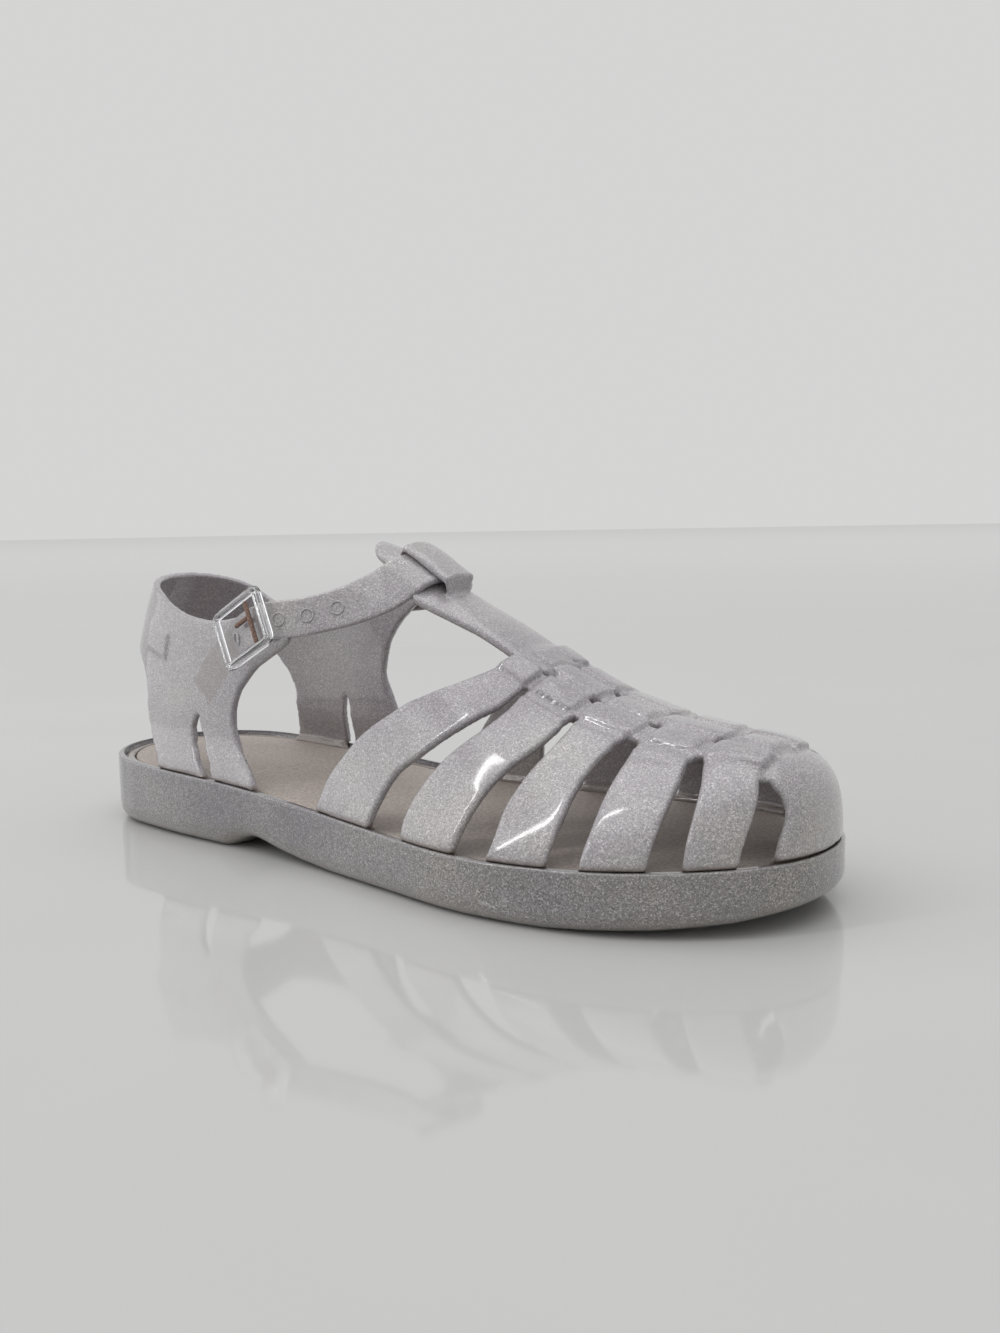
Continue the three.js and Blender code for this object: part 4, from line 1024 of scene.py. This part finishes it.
# %% Helpers for materials
def finish(name):
    made = bpy.data.materials.new(name)
    made.use_nodes = True
    tree = made.node_tree

    def put(target, inputs):
        """Link what is a socket and set what is a value."""
        for key, value in inputs.items():
            if isinstance(value, bpy.types.NodeSocket):
                tree.links.new(value, target.inputs[key])
            else:
                target.inputs[key].default_value = value

    def node(kind, inputs, **settings):
        new = tree.nodes.new(kind)
        for key, value in settings.items():
            setattr(new, key, value)
        put(new, inputs)
        return new

    return made, node, lambda inputs: put(tree.nodes["Principled BSDF"], inputs)


def ramp(node, factor, stops):
    new = node("ShaderNodeValToRGB", {"Fac": factor})
    stairs = new.color_ramp.elements
    while len(stairs) < len(stops):
        stairs.new(0.5)
    for step, (place, colour) in zip(stairs, stops):
        step.position = place
        step.color = (*colour, 1)
    return new.outputs["Color"]


def own_place(node):
    return node("ShaderNodeTexCoord", {}).outputs["Object"]


def dress(made, material):
    made.data.materials.clear()
    made.data.materials.append(material)


# %% Glitter plastic
GLINTS = ((0.0, (0.30,) * 3), (0.25, (0.62,) * 3), (0.7, (0.92,) * 3), (0.9, (1.35,) * 3),
          (1.0, (2.0,) * 3))  # share of the flakes below, how bright they are
# tints of painted shade (behind, edge), dirt and painted shade (seam) and painted light (low)
PAINTED_SHADE_LIGHT_AND_DIRT = {  # painted value: colour it leads to
    "behind": (0.20, 0.165, 0.135, 1), "edge": (0.13, 0.125, 0.14, 1),
    "seam": (0.16, 0.115, 0.08, 1), "low": (0.36, 0.32, 0.26, 1)}


def glitter(name, dark, light, warm, flake, contrast, seam_dirt_and_shade):
    made, node, coat = finish(name)
    where = own_place(node)
    cells = node("ShaderNodeTexVoronoi", {"Vector": where, "Scale": 1 / flake, "Randomness": 1.0})
    value = node("ShaderNodeSeparateColor", {"Color": cells.outputs["Color"]})
    cloud = node("ShaderNodeTexNoise", {"Vector": where, "Scale": 26, "Detail": 3.0})
    body = ramp(node, cloud.outputs["Fac"], [(0.36, dark), (0.54, light), (0.72, warm)])

    def mixed(share, below, above, blend="MIX"):
        inputs = {"Factor": share, "A": below, "B": above}
        new = node("ShaderNodeMix", inputs, data_type="RGBA", blend_type=blend)
        return new.outputs["Result"]

    colour = mixed(contrast, body, ramp(node, value.outputs["Red"], GLINTS), "MULTIPLY")
    # mix in painted shade over the strap's end and on edges, dirt and painted shade in the seam,
    # painted light low on the sole
    strength = {"behind": 0.42, "edge": 0.42, "seam": seam_dirt_and_shade, "low": 0.45}
    for key, tint in PAINTED_SHADE_LIGHT_AND_DIRT.items():
        stored = node("ShaderNodeAttribute", {}, attribute_name=key).outputs["Fac"]
        share = node("ShaderNodeMath", {0: stored, 1: strength[key]}, operation="MULTIPLY")
        colour = mixed(share.outputs["Value"], colour, tint)
    tilt = node("ShaderNodeBump", {"Height": value.outputs["Green"], "Strength": 0.5,
                                   "Distance": 0.00005})
    coat({"Base Color": colour, "Normal": tilt.outputs["Normal"], "Roughness": 0.34, "IOR": 1.5,
          "Coat Weight": 1.0, "Coat Roughness": 0.08, "Subsurface Weight": 0.25,
          "Subsurface Radius": (0.004, 0.0037, 0.004), "Subsurface Scale": 1.0})
    return made


strap_plastic = glitter("glitter_plastic_straps", (0.315, 0.292, 0.312), (0.385, 0.362, 0.378),
                        (0.44, 0.415, 0.40), flake=0.00028, contrast=0.6, seam_dirt_and_shade=0.7)
sole_plastic = glitter("glitter_plastic_sole", (0.215, 0.202, 0.215), (0.262, 0.248, 0.256),
                       (0.31, 0.29, 0.268), flake=0.0003, contrast=0.85, seam_dirt_and_shade=0.0)

# %% Footbed, clear plastic, rusty metal and dark brass
def simple(name, colour, rough, metal=0.0, clear=0.0, spread=0.08, scale=900):
    made, node, coat = finish(name)
    inputs = {"Vector": own_place(node), "Scale": scale, "Detail": 4.0}
    grain = node("ShaderNodeTexNoise", inputs).outputs["Fac"]
    low = tuple(c * (1 - spread) for c in colour)
    high = tuple(min(c * (1 + spread), 1) for c in colour)
    tilt = node("ShaderNodeBump", {"Height": grain, "Strength": 0.25, "Distance": 0.00008})
    coat({"Base Color": ramp(node, grain, [(0.35, low), (0.65, high)]),
          "Normal": tilt.outputs["Normal"], "Roughness": rough, "Metallic": metal,
          "Transmission Weight": clear})
    return made


footbed_finish = simple("footbed_board", (0.38, 0.33, 0.30), 0.6, spread=0.22, scale=1100)
clear_plastic = simple("clear_plastic", (0.93, 0.94, 0.95), 0.07, clear=0.95, spread=0.02,
                       scale=300)
rusty_steel = simple("rusty_steel", (0.21, 0.135, 0.105), 0.45, metal=0.75, spread=0.4, scale=1800)
dark_brass = simple("dark_brass", (0.20, 0.17, 0.09), 0.4, metal=0.8, spread=0.2, scale=1200)

# %% Grow what repeats, then put each piece on the body with its finish
ribs = grown(rib_guide, rib_tree, rib_sockets, {**RIB_VALUES, "Material": sole_plastic})
rings = grown(ring_guide, ring_tree, ring_sockets, {**RING_VALUES, "Material": strap_plastic})
for node_name, material, pieces in (
        ("upper", strap_plastic, (straps, tongue, panels, strap, rings)),
        ("outsole", sole_plastic, (outsole, ribs)), ("insole", footbed_finish, (footbed,)),
        ("buckle_frame", clear_plastic, (frame_piece,))):
    for piece in pieces:
        dress(piece, material)
        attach(piece, "root")
        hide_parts(node_name)
        print(piece.name, "has", triangles(piece.data), "triangles")
for node_name, material in (("buckle_prong", rusty_steel), ("strap_stud", dark_brass)):
    dress(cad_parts[node_name], material)

# %% [markdown]
# ## Floor and light
# The shoe stands on a wide glossy pale table in a room of nearly the same tone. No wall is near,
# so it can be looked at from all round. A wide soft light hangs above, a broad one fills from the
# heel, and a tall thin one on the near side gives the long glints on the straps.

# %% Wide table
REACH, BELOW = 30.0, -0.0001  # metres; the top lies a hair under the sole
mesh = bpy.data.meshes.new("table")
mesh.from_pydata([(x * REACH, y * REACH, BELOW) for x, y in CORNERS], [], [[0, 1, 2, 3]])
table_top = in_scene(bpy.data.objects.new("table", mesh))
made, node, coat = finish("pale_glossy_table")
cloud = node("ShaderNodeTexNoise", {"Vector": own_place(node), "Scale": 9.0, "Detail": 2.0})
tones = [(0.3, (0.50, 0.50, 0.497)), (0.7, (0.515, 0.515, 0.512))]
coat({"Base Color": ramp(node, cloud.outputs["Fac"], tones), "Roughness": 0.06})
table_top.data.materials.append(made)
table_top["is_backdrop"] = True

# %% Lights
def soft_light(name, place, aim, size, power, long=None):
    light = bpy.data.lights.new(name, "AREA")
    light.shape = "RECTANGLE"
    light.size, light.size_y = size, long or size
    light.energy = power
    made = in_scene(bpy.data.objects.new(name, light))
    made.location = place
    made.rotation_euler = (Vector(aim) - Vector(place)).to_track_quat("-Z", "Y").to_euler()


soft_light("sky_panel", (0.1, -0.1, 1.3), (0, 0, 0), 1.6, 8)
soft_light("tall_strip", (-0.6, -1.0, 1.1), (0, 0, 0.05), 0.045, 4.0, 1.3)
soft_light("fill_from_the_heel", (-1.3, -0.8, 0.6), (0, 0, 0.05), 1.5, 5)
world = bpy.data.worlds.new("room")
bpy.context.scene.world = world
world.use_nodes = True
background = world.node_tree.nodes["Background"].inputs
background["Color"].default_value = (0.92, 0.92, 0.915, 1)
background["Strength"].default_value = 0.72
bpy.context.scene.view_settings.view_transform = "Standard"

# %% Sizes of the dressed part beside the model's
low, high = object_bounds()
sizes = {"model": [list(cad_low), list(cad_high)], "dressed": [list(low), list(high)]}
print("dressed box:", [round(v, 4) for v in low], [round(v, 4) for v in high])
